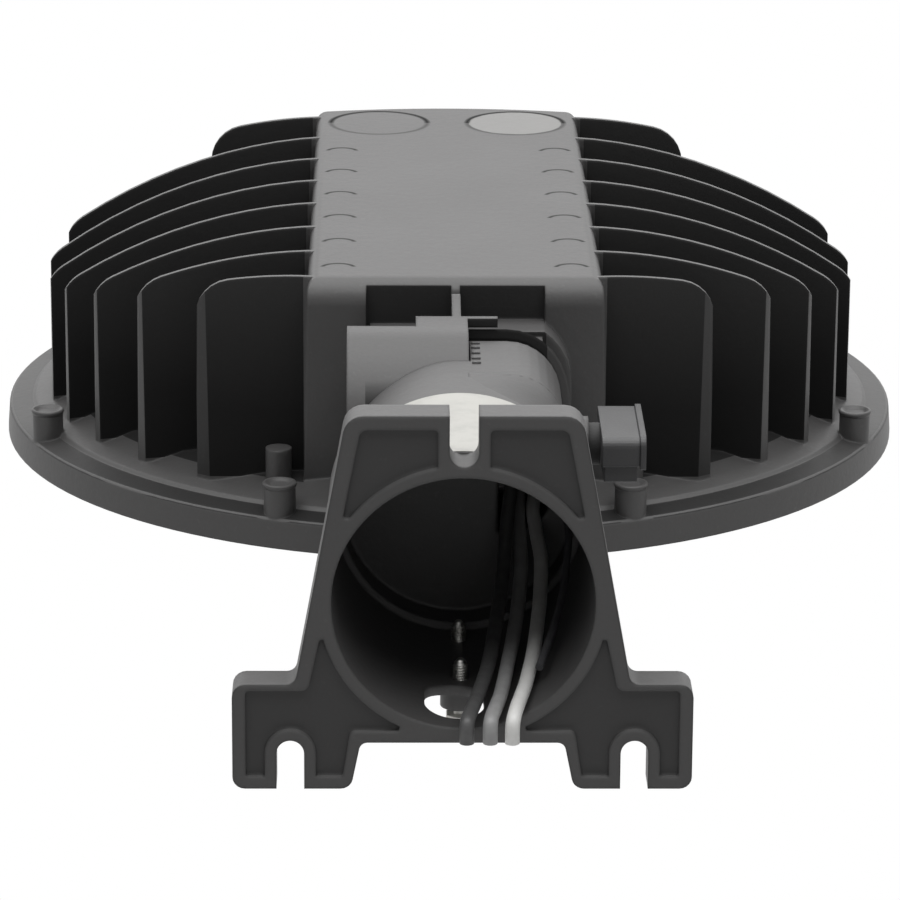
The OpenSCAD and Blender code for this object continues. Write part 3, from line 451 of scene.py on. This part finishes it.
def head_coat():
    paint = Coat("head_powder_coat")
    x = paint.axis("X")
    y = paint.axis("Y")
    z = paint.axis("Z")
    towards_arm = 0 - paint.axis("Y", NORMAL)
    upward = paint.axis("Z", NORMAL)
    side = x.absolute()
    reach = y - HEAD_Y
    radius = (x * x + reach * reach) ** 0.5
    # Painted shade on the flanks in the gaps between fins and in the pocket at the box's near end, less
    # towards the ridges
    beside_box = side.above(BOX_SIDE_X) * reach.above(-FIN_FACE_Y) * (1 - radius.above(FIN_CIRCLE_R))
    in_pocket = (1 - side.above(POCKET_SIDE_X)) * (1 - reach.above(0.0))
    in_gaps = (beside_box + in_pocket).clipped() * z.above(FLANK_LOW_Z)
    shade_with_depth = paint.ramp((z - HEAD_Z) / (BOX_TOP_Z - HEAD_Z), (0.45, 1.0), (1.0, 0.62))
    flank_shade = paint.ramp(towards_arm, (0.72, 0.0), (0.9, 1.0)) * in_gaps * shade_with_depth
    # Painted shade on the floors between fins and in the channel in the flange; the channel's shade fades
    # away from the foot
    level = upward.above(0.8) * (1 - z.above(FLOOR_HIGH_Z))
    gap_floor_shade = level * side.above(BOX_SIDE_X) * (1 - radius.above(GAP_FLOOR_R))
    shade_near_foot = paint.ramp(10 * reach + 1, (0.1, 1.0), (0.7, 0.3))
    channel_shade = level * radius.above(CHANNEL_R) * shade_near_foot
    painted_shade_share = (0.8 * flank_shade + 0.6 * gap_floor_shade + 0.5 * channel_shade).clipped()
    paint.colour = paint.mix(painted_shade_share, paint.colour, COAT_PAINTED_SHADE)
    paint.dullness = paint.dullness + 0.3 * flank_shade
    # Ejector marks: one in each gap, found by folding the length of the box onto one pitch.
    # Each is a dark arc on its far side only, painted shade of the dent's wall
    run = (y - PIN_FIRST_Y + 0.5 * FIN_PITCH) / FIN_PITCH
    along = (run.fraction() - 0.5) * FIN_PITCH
    across = side - PIN_X
    pin_distance = (across * across + along * along) ** 0.5
    row = paint.band(y, PIN_FIRST_Y - PIN_MARGIN, PIN_LAST_Y + PIN_MARGIN)
    dents = paint.ring(pin_distance, PIN_R, PIN_LINE) * row * along.above(PIN_OPEN)
    # Insert marks: two circles, darker on their far half as painted shade of the dent's wall, one of them
    # round a paler disc
    circles = 0.0
    discs = 0.0
    for place_x, place_y, paleness in INSERTS:
        dx = x - place_x
        dy = y - place_y
        distance = (dx * dx + dy * dy) ** 0.5
        circles = circles + paint.ring(distance, INSERT_R, INSERT_LINE) * (0.35 + 0.65 * dy.above(0.0))
        inside = 1 - (distance + INSERT_WAVER * paint.peel).above(INSERT_R)
        discs = discs + paleness * inside
    on_top = z.above(BOX_TOP_Z - MARK_DEPTH)
    marks = (0.8 * dents + circles).clipped() * on_top
    paint.colour = paint.mix(0.9 * marks, paint.colour, MARK_PAINTED_SHADE)
    paint.colour = paint.mix(discs * on_top, paint.colour, DISC_TONE)
    paint.dullness = paint.dullness + 0.4 * marks
    painted_shade = (0.66 * flank_shade + 0.6 * marks + 0.5 * gap_floor_shade + 0.45 * channel_shade).clipped()
    return paint.finished_with_painted_shade(painted_shade, HEAD_EDGE_R)


arm_paint = arm_coat()
head_paint = head_coat()
print("made", arm_paint.name, "and", head_paint.name)

# %% [markdown]
# Screws, bolt, washer and nut are zinc-plated steel. Plating follows the turning marks under it, so a noise
# stretched round the screw breaks up the highlight, and a little dullness gathers in patches.

# %% Zinc-plated steel


def zinc(name, stretch):
    steel = Finish(name, {"Metallic": 1.0})
    marks = steel.noise(0.0012, 3.0, 0.6, stretch)
    haze = steel.ramp(steel.noise(0.006, 2.0), (0.35, 0.0), (0.7, 1.0))
    colour = steel.mix(0.5 * haze + 0.2 * marks, rgba(0.62, 0.62, 0.6), rgba(0.42, 0.41, 0.38))
    normal = steel.bump(marks, 0.00012, 0.5, steel.rounded_edges(0.0003))
    return steel.into(base_color=colour, roughness=0.28 + 0.18 * haze + 0.08 * marks, normal=normal)


zinc_steel = zinc("zinc_plated_steel", (1.0, 1.0, 9.0))
print("made", zinc_steel.name)

# %% [markdown]
# The two clamp screws are turned here with a real thread. The thread is a tooth profile swept round the axis
# and upward at the same time; spin does this when it's given a shift along the axis. The hexagon head comes
# from a six-sided cone with bevelled rims.

# %% Clamp screws
SCREW_YS = {"near": 0.035, "far": 0.063}
SCREW_R = 0.002
SCREW_PITCH = 0.0007
THREAD_DEPTH = 0.0004
SEAT_Z = -0.0408
TIP_Z = -0.0265
TIP_TAPER = 0.001
TIP_SHARE = 0.45
HEX_H = 0.0028
HEX_R = 0.004
HEX_BEVEL = 0.0003
SHANK_SIDES = 48
TURN_STEPS = 24
# Distance of the tooth's profile from the core's or the crest's radius, and its heights in pitches
ROOT_SINK = 0.0001
CREST_SINK = 0.00003
TOOTH_HEIGHTS = (0, 0.42, 0.52, 0.94)
THREAD_FROM = 0.0004
SMOOTH_AREA = 2e-6


def clamp_screw(which, y):
    """Hexagon screw with a swept thread, its head below the seat and its tip in the bore."""
    shape = bmesh.new()
    core_r = SCREW_R - THREAD_DEPTH
    cone = {"cap_ends": True, "segments": SHANK_SIDES}
    shank = TIP_Z - SEAT_Z - TIP_TAPER
    bmesh.ops.create_cone(shape, radius1=core_r, radius2=core_r, depth=shank,
                          matrix=Matrix.Translation((0, y, SEAT_Z + shank / 2)), **cone)
    bmesh.ops.create_cone(shape, radius1=core_r, radius2=core_r * TIP_SHARE, depth=TIP_TAPER,
                          matrix=Matrix.Translation((0, y, TIP_Z - TIP_TAPER / 2)), **cone)
    head = bmesh.ops.create_cone(shape, cap_ends=True, segments=6, radius1=HEX_R, radius2=HEX_R, depth=HEX_H,
                                 matrix=Matrix.Translation((0, y, SEAT_Z - HEX_H / 2)))
    rims = {edge for vert in head["verts"] for edge in vert.link_edges
            if abs(edge.verts[0].co.z - edge.verts[1].co.z) < 1e-6}
    bevel(shape, list(rims), HEX_BEVEL)
    turns = int((shank - 2 * THREAD_FROM) / SCREW_PITCH)
    radii = (core_r - ROOT_SINK, SCREW_R - CREST_SINK, SCREW_R - CREST_SINK, core_r - ROOT_SINK)
    tooth = [shape.verts.new((r, y, SEAT_Z + THREAD_FROM + SCREW_PITCH * height))
             for r, height in zip(radii, TOOTH_HEIGHTS)]
    edges = [shape.edges.new((a, b)) for a, b in zip(tooth, tooth[1:] + tooth[:1])]
    bmesh.ops.spin(shape, geom=tooth + edges, cent=(0, y, 0), axis=(0, 0, 1),
                   dvec=(0, 0, SCREW_PITCH / TURN_STEPS), angle=2 * math.pi * turns,
                   steps=TURN_STEPS * turns, use_merge=False, use_duplicate=False)
    bmesh.ops.recalc_face_normals(shape, faces=shape.faces)
    for face in shape.faces:
        face.smooth = len(face.verts) == 4 and face.calc_area() < SMOOTH_AREA
    piece = piece_from("clamp_screw_" + which + "_turned", shape, zinc_steel)
    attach(piece, which + "_screw")
    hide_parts("clamp_screw_" + which)
    return piece


for which, y in SCREW_YS.items():
    print("turned", clamp_screw(which, y).name)

# %% [markdown]
# Lead insulation is soft plastic pulled through a die. It is nearly smooth, keeps faint finger marks and
# small scuffs, and has a satin shine. One function makes them all. The cut ends show the copper strands.

# %% Lead insulation


def insulation(name, clean, scuffed, roughness):
    skin = Finish(name, {"Specular IOR Level": 0.45})
    smudge = skin.ramp(skin.noise(0.004, 3.0, 0.6), (0.35, 0.0), (0.75, 1.0))
    fine = skin.noise(0.0006, 2.0)
    colour = skin.mix(0.7 * smudge, rgba(*clean), rgba(*scuffed))
    return skin.into(base_color=colour, roughness=roughness + 0.15 * smudge,
                     normal=skin.bump(fine, 0.00008, 0.5))


def copper_finish():
    copper = Finish("copper_strands", {"Metallic": 1.0})
    strand = copper.noise(0.00025, 2.0, 0.6)
    tarnish = copper.noise(0.0008, 2.0)
    colour = copper.mix(tarnish, rgba(0.9, 0.48, 0.3), rgba(0.6, 0.3, 0.18))
    return copper.into(base_color=colour, roughness=0.25 + 0.3 * strand,
                       normal=copper.bump(strand, 0.0001, 0.7))


thin_skin = insulation("thin_dark_insulation", (0.09, 0.09, 0.095), (0.055, 0.055, 0.06), 0.42)
skins = {
    "white": insulation("white_insulation", (0.86, 0.86, 0.84), (0.74, 0.73, 0.71), 0.4),
    "grey": insulation("grey_insulation", (0.36, 0.36, 0.36), (0.27, 0.27, 0.27), 0.42),
    "black": insulation("black_insulation", (0.1, 0.1, 0.1), (0.06, 0.06, 0.06), 0.4),
    "sensor_a": thin_skin, "sensor_b": thin_skin,
}
for key, skin in skins.items():
    leads[key].data.materials.append(skin)
copper_look = copper_finish()
for core in cores:
    core.data.materials.append(copper_look)
print("leads finished:", len(leads), "cores:", len(cores))

# %% [markdown]
# The sensor is moulded in dark plastic with a fine spark-eroded texture. Its collar, like the lens gasket, is
# black rubber. Both are matte, so most of their look is in the roughness and a fine bump.

# %% Moulded plastic and rubber


def moulding(name, dark, pale, roughness, grain):
    plastic = Finish(name, {"Specular IOR Level": 0.5})
    spark = plastic.noise(grain, 2.0, 0.6)
    patch = plastic.noise(0.012, 2.0)
    colour = plastic.mix(0.5 * spark + 0.3 * patch, rgba(*dark), rgba(*pale))
    normal = plastic.bump(spark, 0.0001, 0.5, plastic.rounded_edges(0.0005))
    return plastic.into(base_color=colour, roughness=roughness + 0.12 * patch, normal=normal)


dark_plastic = moulding("moulded_dark_plastic", (0.022, 0.022, 0.023), (0.04, 0.04, 0.041), 0.42, 0.0005)
rubber = moulding("black_rubber", (0.012, 0.012, 0.012), (0.03, 0.03, 0.03), 0.7, 0.0004)
print("made", dark_plastic.name, "and", rubber.name)

# %% [markdown]
# Under the head lies a clear lens with a light board behind it. The lens is moulded with fine rings, the
# board is white solder mask with a faint weave, and every chip is a square of yellow phosphor under gel.

# %% Lens, board and chips
LENS_RING_PITCH = 0.0035
LENS_RING_HEIGHT = 0.0004


def lens_finish():
    clear = Finish("ringed_lens", {"Transmission Weight": 0.8, "IOR": 1.49})
    x = clear.axis("X")
    y = clear.axis("Y") - HEAD_Y
    radius = (x * x + y * y) ** 0.5
    rings = (radius * (2 * math.pi / LENS_RING_PITCH)).sine()
    frost = clear.noise(0.02, 2.0)
    colour = clear.mix(frost, rgba(0.93, 0.95, 0.96), rgba(0.88, 0.91, 0.92))
    normal = clear.bump(0.5 * rings + 0.5, LENS_RING_HEIGHT, 0.6)
    return clear.into(base_color=colour, roughness=0.12 + 0.1 * frost, normal=normal)


def board_finish():
    mask = Finish("white_solder_mask", {"Specular IOR Level": 0.5})
    weave = mask.noise(0.0006, 1.0, 0.5, (1.0, 3.0, 1.0))
    stain = mask.noise(0.03, 2.0)
    colour = mask.mix(0.6 * stain, rgba(0.87, 0.87, 0.85), rgba(0.78, 0.79, 0.76))
    return mask.into(base_color=colour, roughness=0.35 + 0.1 * weave, normal=mask.bump(weave, 0.00006, 0.4))


def phosphor_finish():
    gel = Finish("phosphor_gel", {"Specular IOR Level": 0.5})
    grain = gel.noise(0.0004, 2.0)
    patch = gel.noise(0.004, 2.0)
    colour = gel.mix(0.6 * patch + 0.3 * grain, rgba(0.93, 0.72, 0.14), rgba(0.86, 0.6, 0.08))
    return gel.into(base_color=colour, roughness=0.25 + 0.1 * patch, normal=gel.bump(grain, 0.00004, 0.4))


lens_look = lens_finish()
board_look = board_finish()
phosphor = phosphor_finish()
print("made", lens_look.name, board_look.name, phosphor.name)

# %% [markdown]
# The label is a film of pale plastic. It is left blank. Slight yellowing and a few rubbed patches keep it
# from looking like paper. The driver's case is bare die-cast metal.

# %% Label film and driver case


def film_finish():
    film = Finish("pale_label_film", {"Specular IOR Level": 0.4})
    rubbed = film.ramp(film.noise(0.007, 3.0, 0.6), (0.45, 0.0), (0.8, 1.0))
    fine = film.noise(0.0007, 2.0)
    colour = film.mix(0.6 * rubbed, rgba(0.42, 0.415, 0.39), rgba(0.3, 0.295, 0.28))
    return film.into(base_color=colour, roughness=0.5 + 0.1 * fine, normal=film.bump(fine, 0.00005, 0.3))


label_film = film_finish()
case_metal = zinc("driver_case_metal", (1.0, 1.0, 1.0))
FINISH_OF = {
    "arm": arm_paint, "lens_ring": arm_paint, "driver": case_metal, "driver_screws": zinc_steel,
    "led_board": board_look, "leds": phosphor, "board_screws": zinc_steel, "lens_gasket": rubber,
    "lens": lens_look, "ring_screws": zinc_steel, "hinge_bolt": zinc_steel, "hinge_washer": zinc_steel,
    "hinge_nut": zinc_steel, "arm_label": label_film, "sensor_collar": rubber,
    "sensor_body": dark_plastic, "sensor_lip_plate": dark_plastic, "sensor_block": dark_plastic,
}
for node, finish in FINISH_OF.items():
    nodes[node].data.materials.clear()
    nodes[node].data.materials.append(finish)
print("finished solids:", len(FINISH_OF))

# %% [markdown]
# The head's casting is dressed with two cuts into a merged copy of its solid. One rolls the box's near top
# edge over in a single soft curve, and one lowers the roof behind the knuckle's hood, as the die does where
# the pull of the cores leaves no edge sharp. Boolean modifiers make the cuts, and the result goes into the
# mesh. Then every large flat face gets a sharp border, so that smooth shading stays on the curved walls.

# %% Rolled edge and lowered hood
ROLL_R = 0.0068
ROLL_NEAR_Y = HEAD_Y - 0.1
ROLL_HALF_W = 0.042
ROLL_STEPS = 16
ROLL_MARGIN = 0.004
# Low and high corner of the block that is cut away from the roof behind the hood
HOOD_CUT = ((0.0013, 0.1228, 0.0305), (0.0236, 0.14149, 0.04))
MERGE_DISTANCE = 1e-6
FLAT_ANGLE = math.radians(0.4)
SHARP_ANGLE = math.radians(19)
LARGE_AREA = 3e-4


def cutter(name, profile, x_low, x_high):
    """A solid that is cut away: a closed outline in the YZ plane, extruded along X."""
    shape = bmesh.new()
    face = shape.faces.new([shape.verts.new((x_low, y, z)) for y, z in profile])
    grown = bmesh.ops.extrude_face_region(shape, geom=[face])
    moved = [item for item in grown["geom"] if isinstance(item, bmesh.types.BMVert)]
    bmesh.ops.translate(shape, verts=moved, vec=(x_high - x_low, 0, 0))
    bmesh.ops.recalc_face_normals(shape, faces=shape.faces)
    return piece_from(name, shape)


def roll_profile():
    """Outline of what lies outside the rolled edge: an arc and the corner beyond it."""
    centre_y = ROLL_NEAR_Y + ROLL_R
    centre_z = BOX_TOP_Z - ROLL_R
    turns = [math.pi / 2 * (1 + i / ROLL_STEPS) for i in range(ROLL_STEPS + 1)]
    arc = [(centre_y + ROLL_R * math.cos(turn), centre_z + ROLL_R * math.sin(turn)) for turn in turns]
    outer_y = ROLL_NEAR_Y - ROLL_MARGIN
    outer_z = BOX_TOP_Z + ROLL_MARGIN
    return arc + [(outer_y, centre_z), (outer_y, outer_z), (centre_y, outer_z)]


def crisp_planes(mesh):
    """Smooth shading on curved walls, and a sharp border round every large flat one."""
    shape = bmesh.new()
    shape.from_mesh(mesh)
    plane_of = {}
    areas = []
    for start in shape.faces:
        if start in plane_of:
            continue
        plane_of[start] = len(areas)
        area = 0
        open_faces = [start]
        while open_faces:
            face = open_faces.pop()
            area += face.calc_area()
            for edge in face.edges:
                for other in edge.link_faces:
                    if other not in plane_of and other.normal.angle(start.normal, 1) < FLAT_ANGLE:
                        plane_of[other] = len(areas)
                        open_faces.append(other)
        areas.append(area)
    for face in shape.faces:
        face.smooth = True
    for edge in shape.edges:
        planes = {plane_of[face] for face in edge.link_faces}
        border = len(planes) > 1 and max(areas[plane] for plane in planes) > LARGE_AREA
        edge.smooth = not border and edge.calc_face_angle(0) < SHARP_ANGLE
    shape.to_mesh(mesh)
    shape.free()


def baked(piece):
    """Put the result of the modifiers into the piece's mesh."""
    bpy.context.view_layer.update()
    done = piece.evaluated_get(bpy.context.evaluated_depsgraph_get())
    mesh = bpy.data.meshes.new_from_object(done)
    piece.modifiers.clear()
    piece.data = mesh


def dressed_housing():
    mesh = nodes["housing"].data.copy()
    mesh.name = "housing_cast"
    shape = bmesh.new()
    shape.from_mesh(mesh)
    bmesh.ops.remove_doubles(shape, verts=shape.verts, dist=MERGE_DISTANCE)
    shape.to_mesh(mesh)
    shape.free()
    piece = add_piece("housing_cast", mesh)
    low, high = HOOD_CUT
    hood_outline = [(low[1], low[2]), (high[1], low[2]), (high[1], high[2]), (low[1], high[2])]
    tools = (cutter("roll_cutter", roll_profile(), -ROLL_HALF_W, ROLL_HALF_W),
             cutter("hood_cutter", hood_outline, low[0], high[0]))
    for tool in tools:
        cut = piece.modifiers.new(tool.name, "BOOLEAN")
        cut.operation = "DIFFERENCE"
        cut.solver = "EXACT"
        cut.object = tool
    baked(piece)
    for tool in tools:
        bpy.data.objects.remove(tool)
    crisp_planes(piece.data)
    piece.data.materials.clear()
    piece.data.materials.append(head_paint)
    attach(piece, "head")
    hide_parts("housing")
    return piece


housing_cast = dressed_housing()
print(housing_cast.name, "has", len(housing_cast.data.polygons), "faces")

# %% [markdown]
# On the arm, the shoulder between the round tube and the flatter drum is faired. Each section of the fairing
# starts as the tube's circle and ends as the drum's rounded outline, and a smooth step leads from one to the
# other. Sections with equal numbers of points are joined with bridge_loops, and both ends are filled.

# %% Shoulder fairing
TUBE_R = 0.033
HINGE_Z = 0.0107
DRUM_R = 0.0222
DRUM_RIGHT = 0.027
DRUM_CORNER_R = 0.014
FAIR_NEAR_Y = 0.0612
FAIR_FAR_Y = 0.0834
FAIR_LIFT = 0.00005
FAIR_SINK = 0.0002
FAIR_DEPTH = 0.0012
FAIR_SECTIONS = 14
FAIR_STEPS = 30
# Directions between which the fairing lies, in degrees up from the tube's right side
FAIR_FROM = 86
FAIR_TO = 30
FAIR_SHARP = math.radians(35)


def drum_reach(turn):
    """Distance from the tube's axis to the drum's outline in a direction between the side and the top."""
    across = math.cos(turn)
    up = math.sin(turn)
    top = (HINGE_Z + DRUM_R) / up
    side = DRUM_RIGHT / across
    corner_x = DRUM_RIGHT - DRUM_CORNER_R
    corner_z = HINGE_Z + DRUM_R - DRUM_CORNER_R
    half = across * corner_x + up * corner_z
    rest = half * half - corner_x ** 2 - corner_z ** 2 + DRUM_CORNER_R ** 2
    corner = half + math.sqrt(max(rest, 0))
    if top * across <= corner_x:
        return top
    return side if side * up <= corner_z else corner


def fairing_section(share, turns):
    """Closed outline at a share of the fairing's length: its outer side and its hidden inner side."""
    rise = share * share * (3 - 2 * share)
    y = FAIR_NEAR_Y + (FAIR_FAR_Y - FAIR_NEAR_Y) * share
    start = TUBE_R - FAIR_SINK
    outer = [(start + rise * (max(drum_reach(turn), TUBE_R) + FAIR_LIFT - start), turn) for turn in turns]
    inner = [(TUBE_R - FAIR_DEPTH, turn) for turn in reversed(turns)]
    return [(r * math.cos(turn), y, r * math.sin(turn)) for r, turn in outer + inner]


def shoulder_fairing():
    shape = bmesh.new()
    degrees = [FAIR_FROM + (FAIR_TO - FAIR_FROM) * j / FAIR_STEPS for j in range(FAIR_STEPS + 1)]
    turns = [math.radians(angle) for angle in degrees]
    loops = []
    for i in range(FAIR_SECTIONS + 1):
        ring = [shape.verts.new(point) for point in fairing_section(i / FAIR_SECTIONS, turns)]
        loops.append([shape.edges.new((a, b)) for a, b in zip(ring, ring[1:] + ring[:1])])
    for first, second in zip(loops, loops[1:]):
        bmesh.ops.bridge_loops(shape, edges=first + second)
    for end in (loops[0], loops[-1]):
        bmesh.ops.contextual_create(shape, geom=end)
    bmesh.ops.recalc_face_normals(shape, faces=shape.faces)
    piece = piece_from("shoulder_fairing", shape, arm_paint)
    piece.data.shade_smooth()
    piece.data.set_sharp_from_angle(angle=FAIR_SHARP)
    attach(piece, "arm_body")
    return piece


print("faired", shoulder_fairing().name)

# %% [markdown]
# Two kinds of small cast detail are added to the solids. Five scale ticks stand beside the knuckle's parting
# line, where an installer reads the tilt, and each ring-screw post has a slightly flared rim, left by the
# core pin of the die. The rim is a small profile spun right round the post's axis.

# %% Ticks and post rims
TICK_YS = (0.0919, 0.0958, 0.1007, 0.1055, 0.1095)
TICK_Z = 0.033
TICK_SIZE = (0.0023, 0.0007, 0.0006)
TICK_X = 0.00465
TICK_BEVEL = 0.00018
POST_COUNT = 8
POST_RING_R = 0.1219
POST_R = 0.00425
POST_TOP_Z = HEAD_Z + 0.017
RIM_STEPS = 40
# Outline of a post's rim: distance outside the post's radius and height over its top
RIM_PROFILE = ((-0.0008, 0.00005), (0.0001, 0.0001), (0.00035, -0.0002), (0.0003, -0.0006), (0, -0.0014),
               (-0.0008, -0.0014))


def scale_ticks():
    shape = bmesh.new()
    size = Matrix.Diagonal((*TICK_SIZE, 1))
    for y in TICK_YS:
        bmesh.ops.create_cube(shape, size=1, matrix=Matrix.Translation((TICK_X, y, TICK_Z)) @ size)
    bevel(shape, shape.edges[:], TICK_BEVEL, 3)
    piece = piece_from("scale_ticks", shape, arm_paint)
    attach(piece, "arm_body")
    return piece


def post_rims():
    shape = bmesh.new()
    for i in range(POST_COUNT):
        turn = (i + 0.5) * 2 * math.pi / POST_COUNT
        centre = Vector((POST_RING_R * math.cos(turn), HEAD_Y + POST_RING_R * math.sin(turn), POST_TOP_Z))
        verts = [shape.verts.new(centre + Vector((POST_R + out, 0, lift))) for out, lift in RIM_PROFILE]
        edges = [shape.edges.new((a, b)) for a, b in zip(verts, verts[1:] + verts[:1])]
        bmesh.ops.spin(shape, geom=verts + edges, cent=centre, axis=(0, 0, 1), angle=2 * math.pi,
                       steps=RIM_STEPS, use_merge=True, use_duplicate=False)
    bmesh.ops.recalc_face_normals(shape, faces=shape.faces)
    for face in shape.faces:
        face.smooth = True
    piece = piece_from("post_rims", shape, head_paint)
    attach(piece, "head")
    return piece


print("added", scale_ticks().name, "and", post_rims().name)

# %% [markdown]
# The studio is plain. A white floor and a white surround show to the camera and in reflections, and large
# soft lamps above give the castings their pale tops; their dark flanks come from these lamps and from the
# painted shade in the coat.

# %% Floor, surround and lamps
FLOOR_Z = -0.6
FLOOR_R = 1.1
FLOOR_SIDES = 96
SURROUND_LIGHT = 0.1
# Each lamp: place, point that it faces, size and power
LAMPS = {
    "back_lamp": ((0.0, 2.6, 1.3), (0, 0.1, 0), (4.0, 2.0), 22),
    "overhead_lamp": ((0.0, 0.1, 1.7), (0, 0.1, 0), (2.4, 2.4), 60),
}


def studio_floor():
    ground = Finish("studio_floor", {"Roughness": 0.9, "Base Color": rgba(0.98, 0.98, 0.98)})
    shape = bmesh.new()
    bmesh.ops.create_circle(shape, cap_ends=True, segments=FLOOR_SIDES, radius=FLOOR_R)
    bmesh.ops.translate(shape, verts=shape.verts, vec=(0, 0, FLOOR_Z))
    floor = piece_from("studio_floor", shape, ground.material)


def surround(light_level):
    """White where it is seen, directly or in a reflection, and dim as a source of light."""
    world = bpy.data.worlds.new("studio_surround")
    bpy.context.scene.world = world
    world.use_nodes = True
    tree = world.node_tree
    background = tree.nodes["Background"]
    rays = tree.nodes.new("ShaderNodeLightPath")
    seen = tree.nodes.new("ShaderNodeMath")
    seen.operation = "MAXIMUM"
    tree.links.new(rays.outputs["Is Camera Ray"], seen.inputs[0])
    tree.links.new(rays.outputs["Is Glossy Ray"], seen.inputs[1])
    through_glass = tree.nodes.new("ShaderNodeMath")
    through_glass.operation = "MAXIMUM"
    tree.links.new(seen.outputs[0], through_glass.inputs[0])
    tree.links.new(rays.outputs["Is Transmission Ray"], through_glass.inputs[1])
    level = tree.nodes.new("ShaderNodeMapRange")
    level.inputs["To Min"].default_value = light_level
    level.inputs["To Max"].default_value = 1.0
    tree.links.new(through_glass.outputs[0], level.inputs["Value"])
    background.inputs["Color"].default_value = rgba(1, 1, 1)
    tree.links.new(level.outputs[0], background.inputs["Strength"])


def soft_lamp(name, place, aim, size, power):
    data = bpy.data.lights.new(name, "AREA")
    data.shape = "RECTANGLE"
    data.size = size[0]
    data.size_y = size[1]
    data.energy = power
    turn = (Vector(aim) - Vector(place)).to_track_quat("-Z", "Y")
    add_piece(name, data).matrix_world = Matrix.Translation(place) @ turn.to_matrix().to_4x4()


studio_floor()
surround(SURROUND_LIGHT)
for name, settings in LAMPS.items():
    soft_lamp(name, *settings)
bpy.context.scene.view_settings.view_transform = "Standard"
print("lamps:", len(LAMPS))
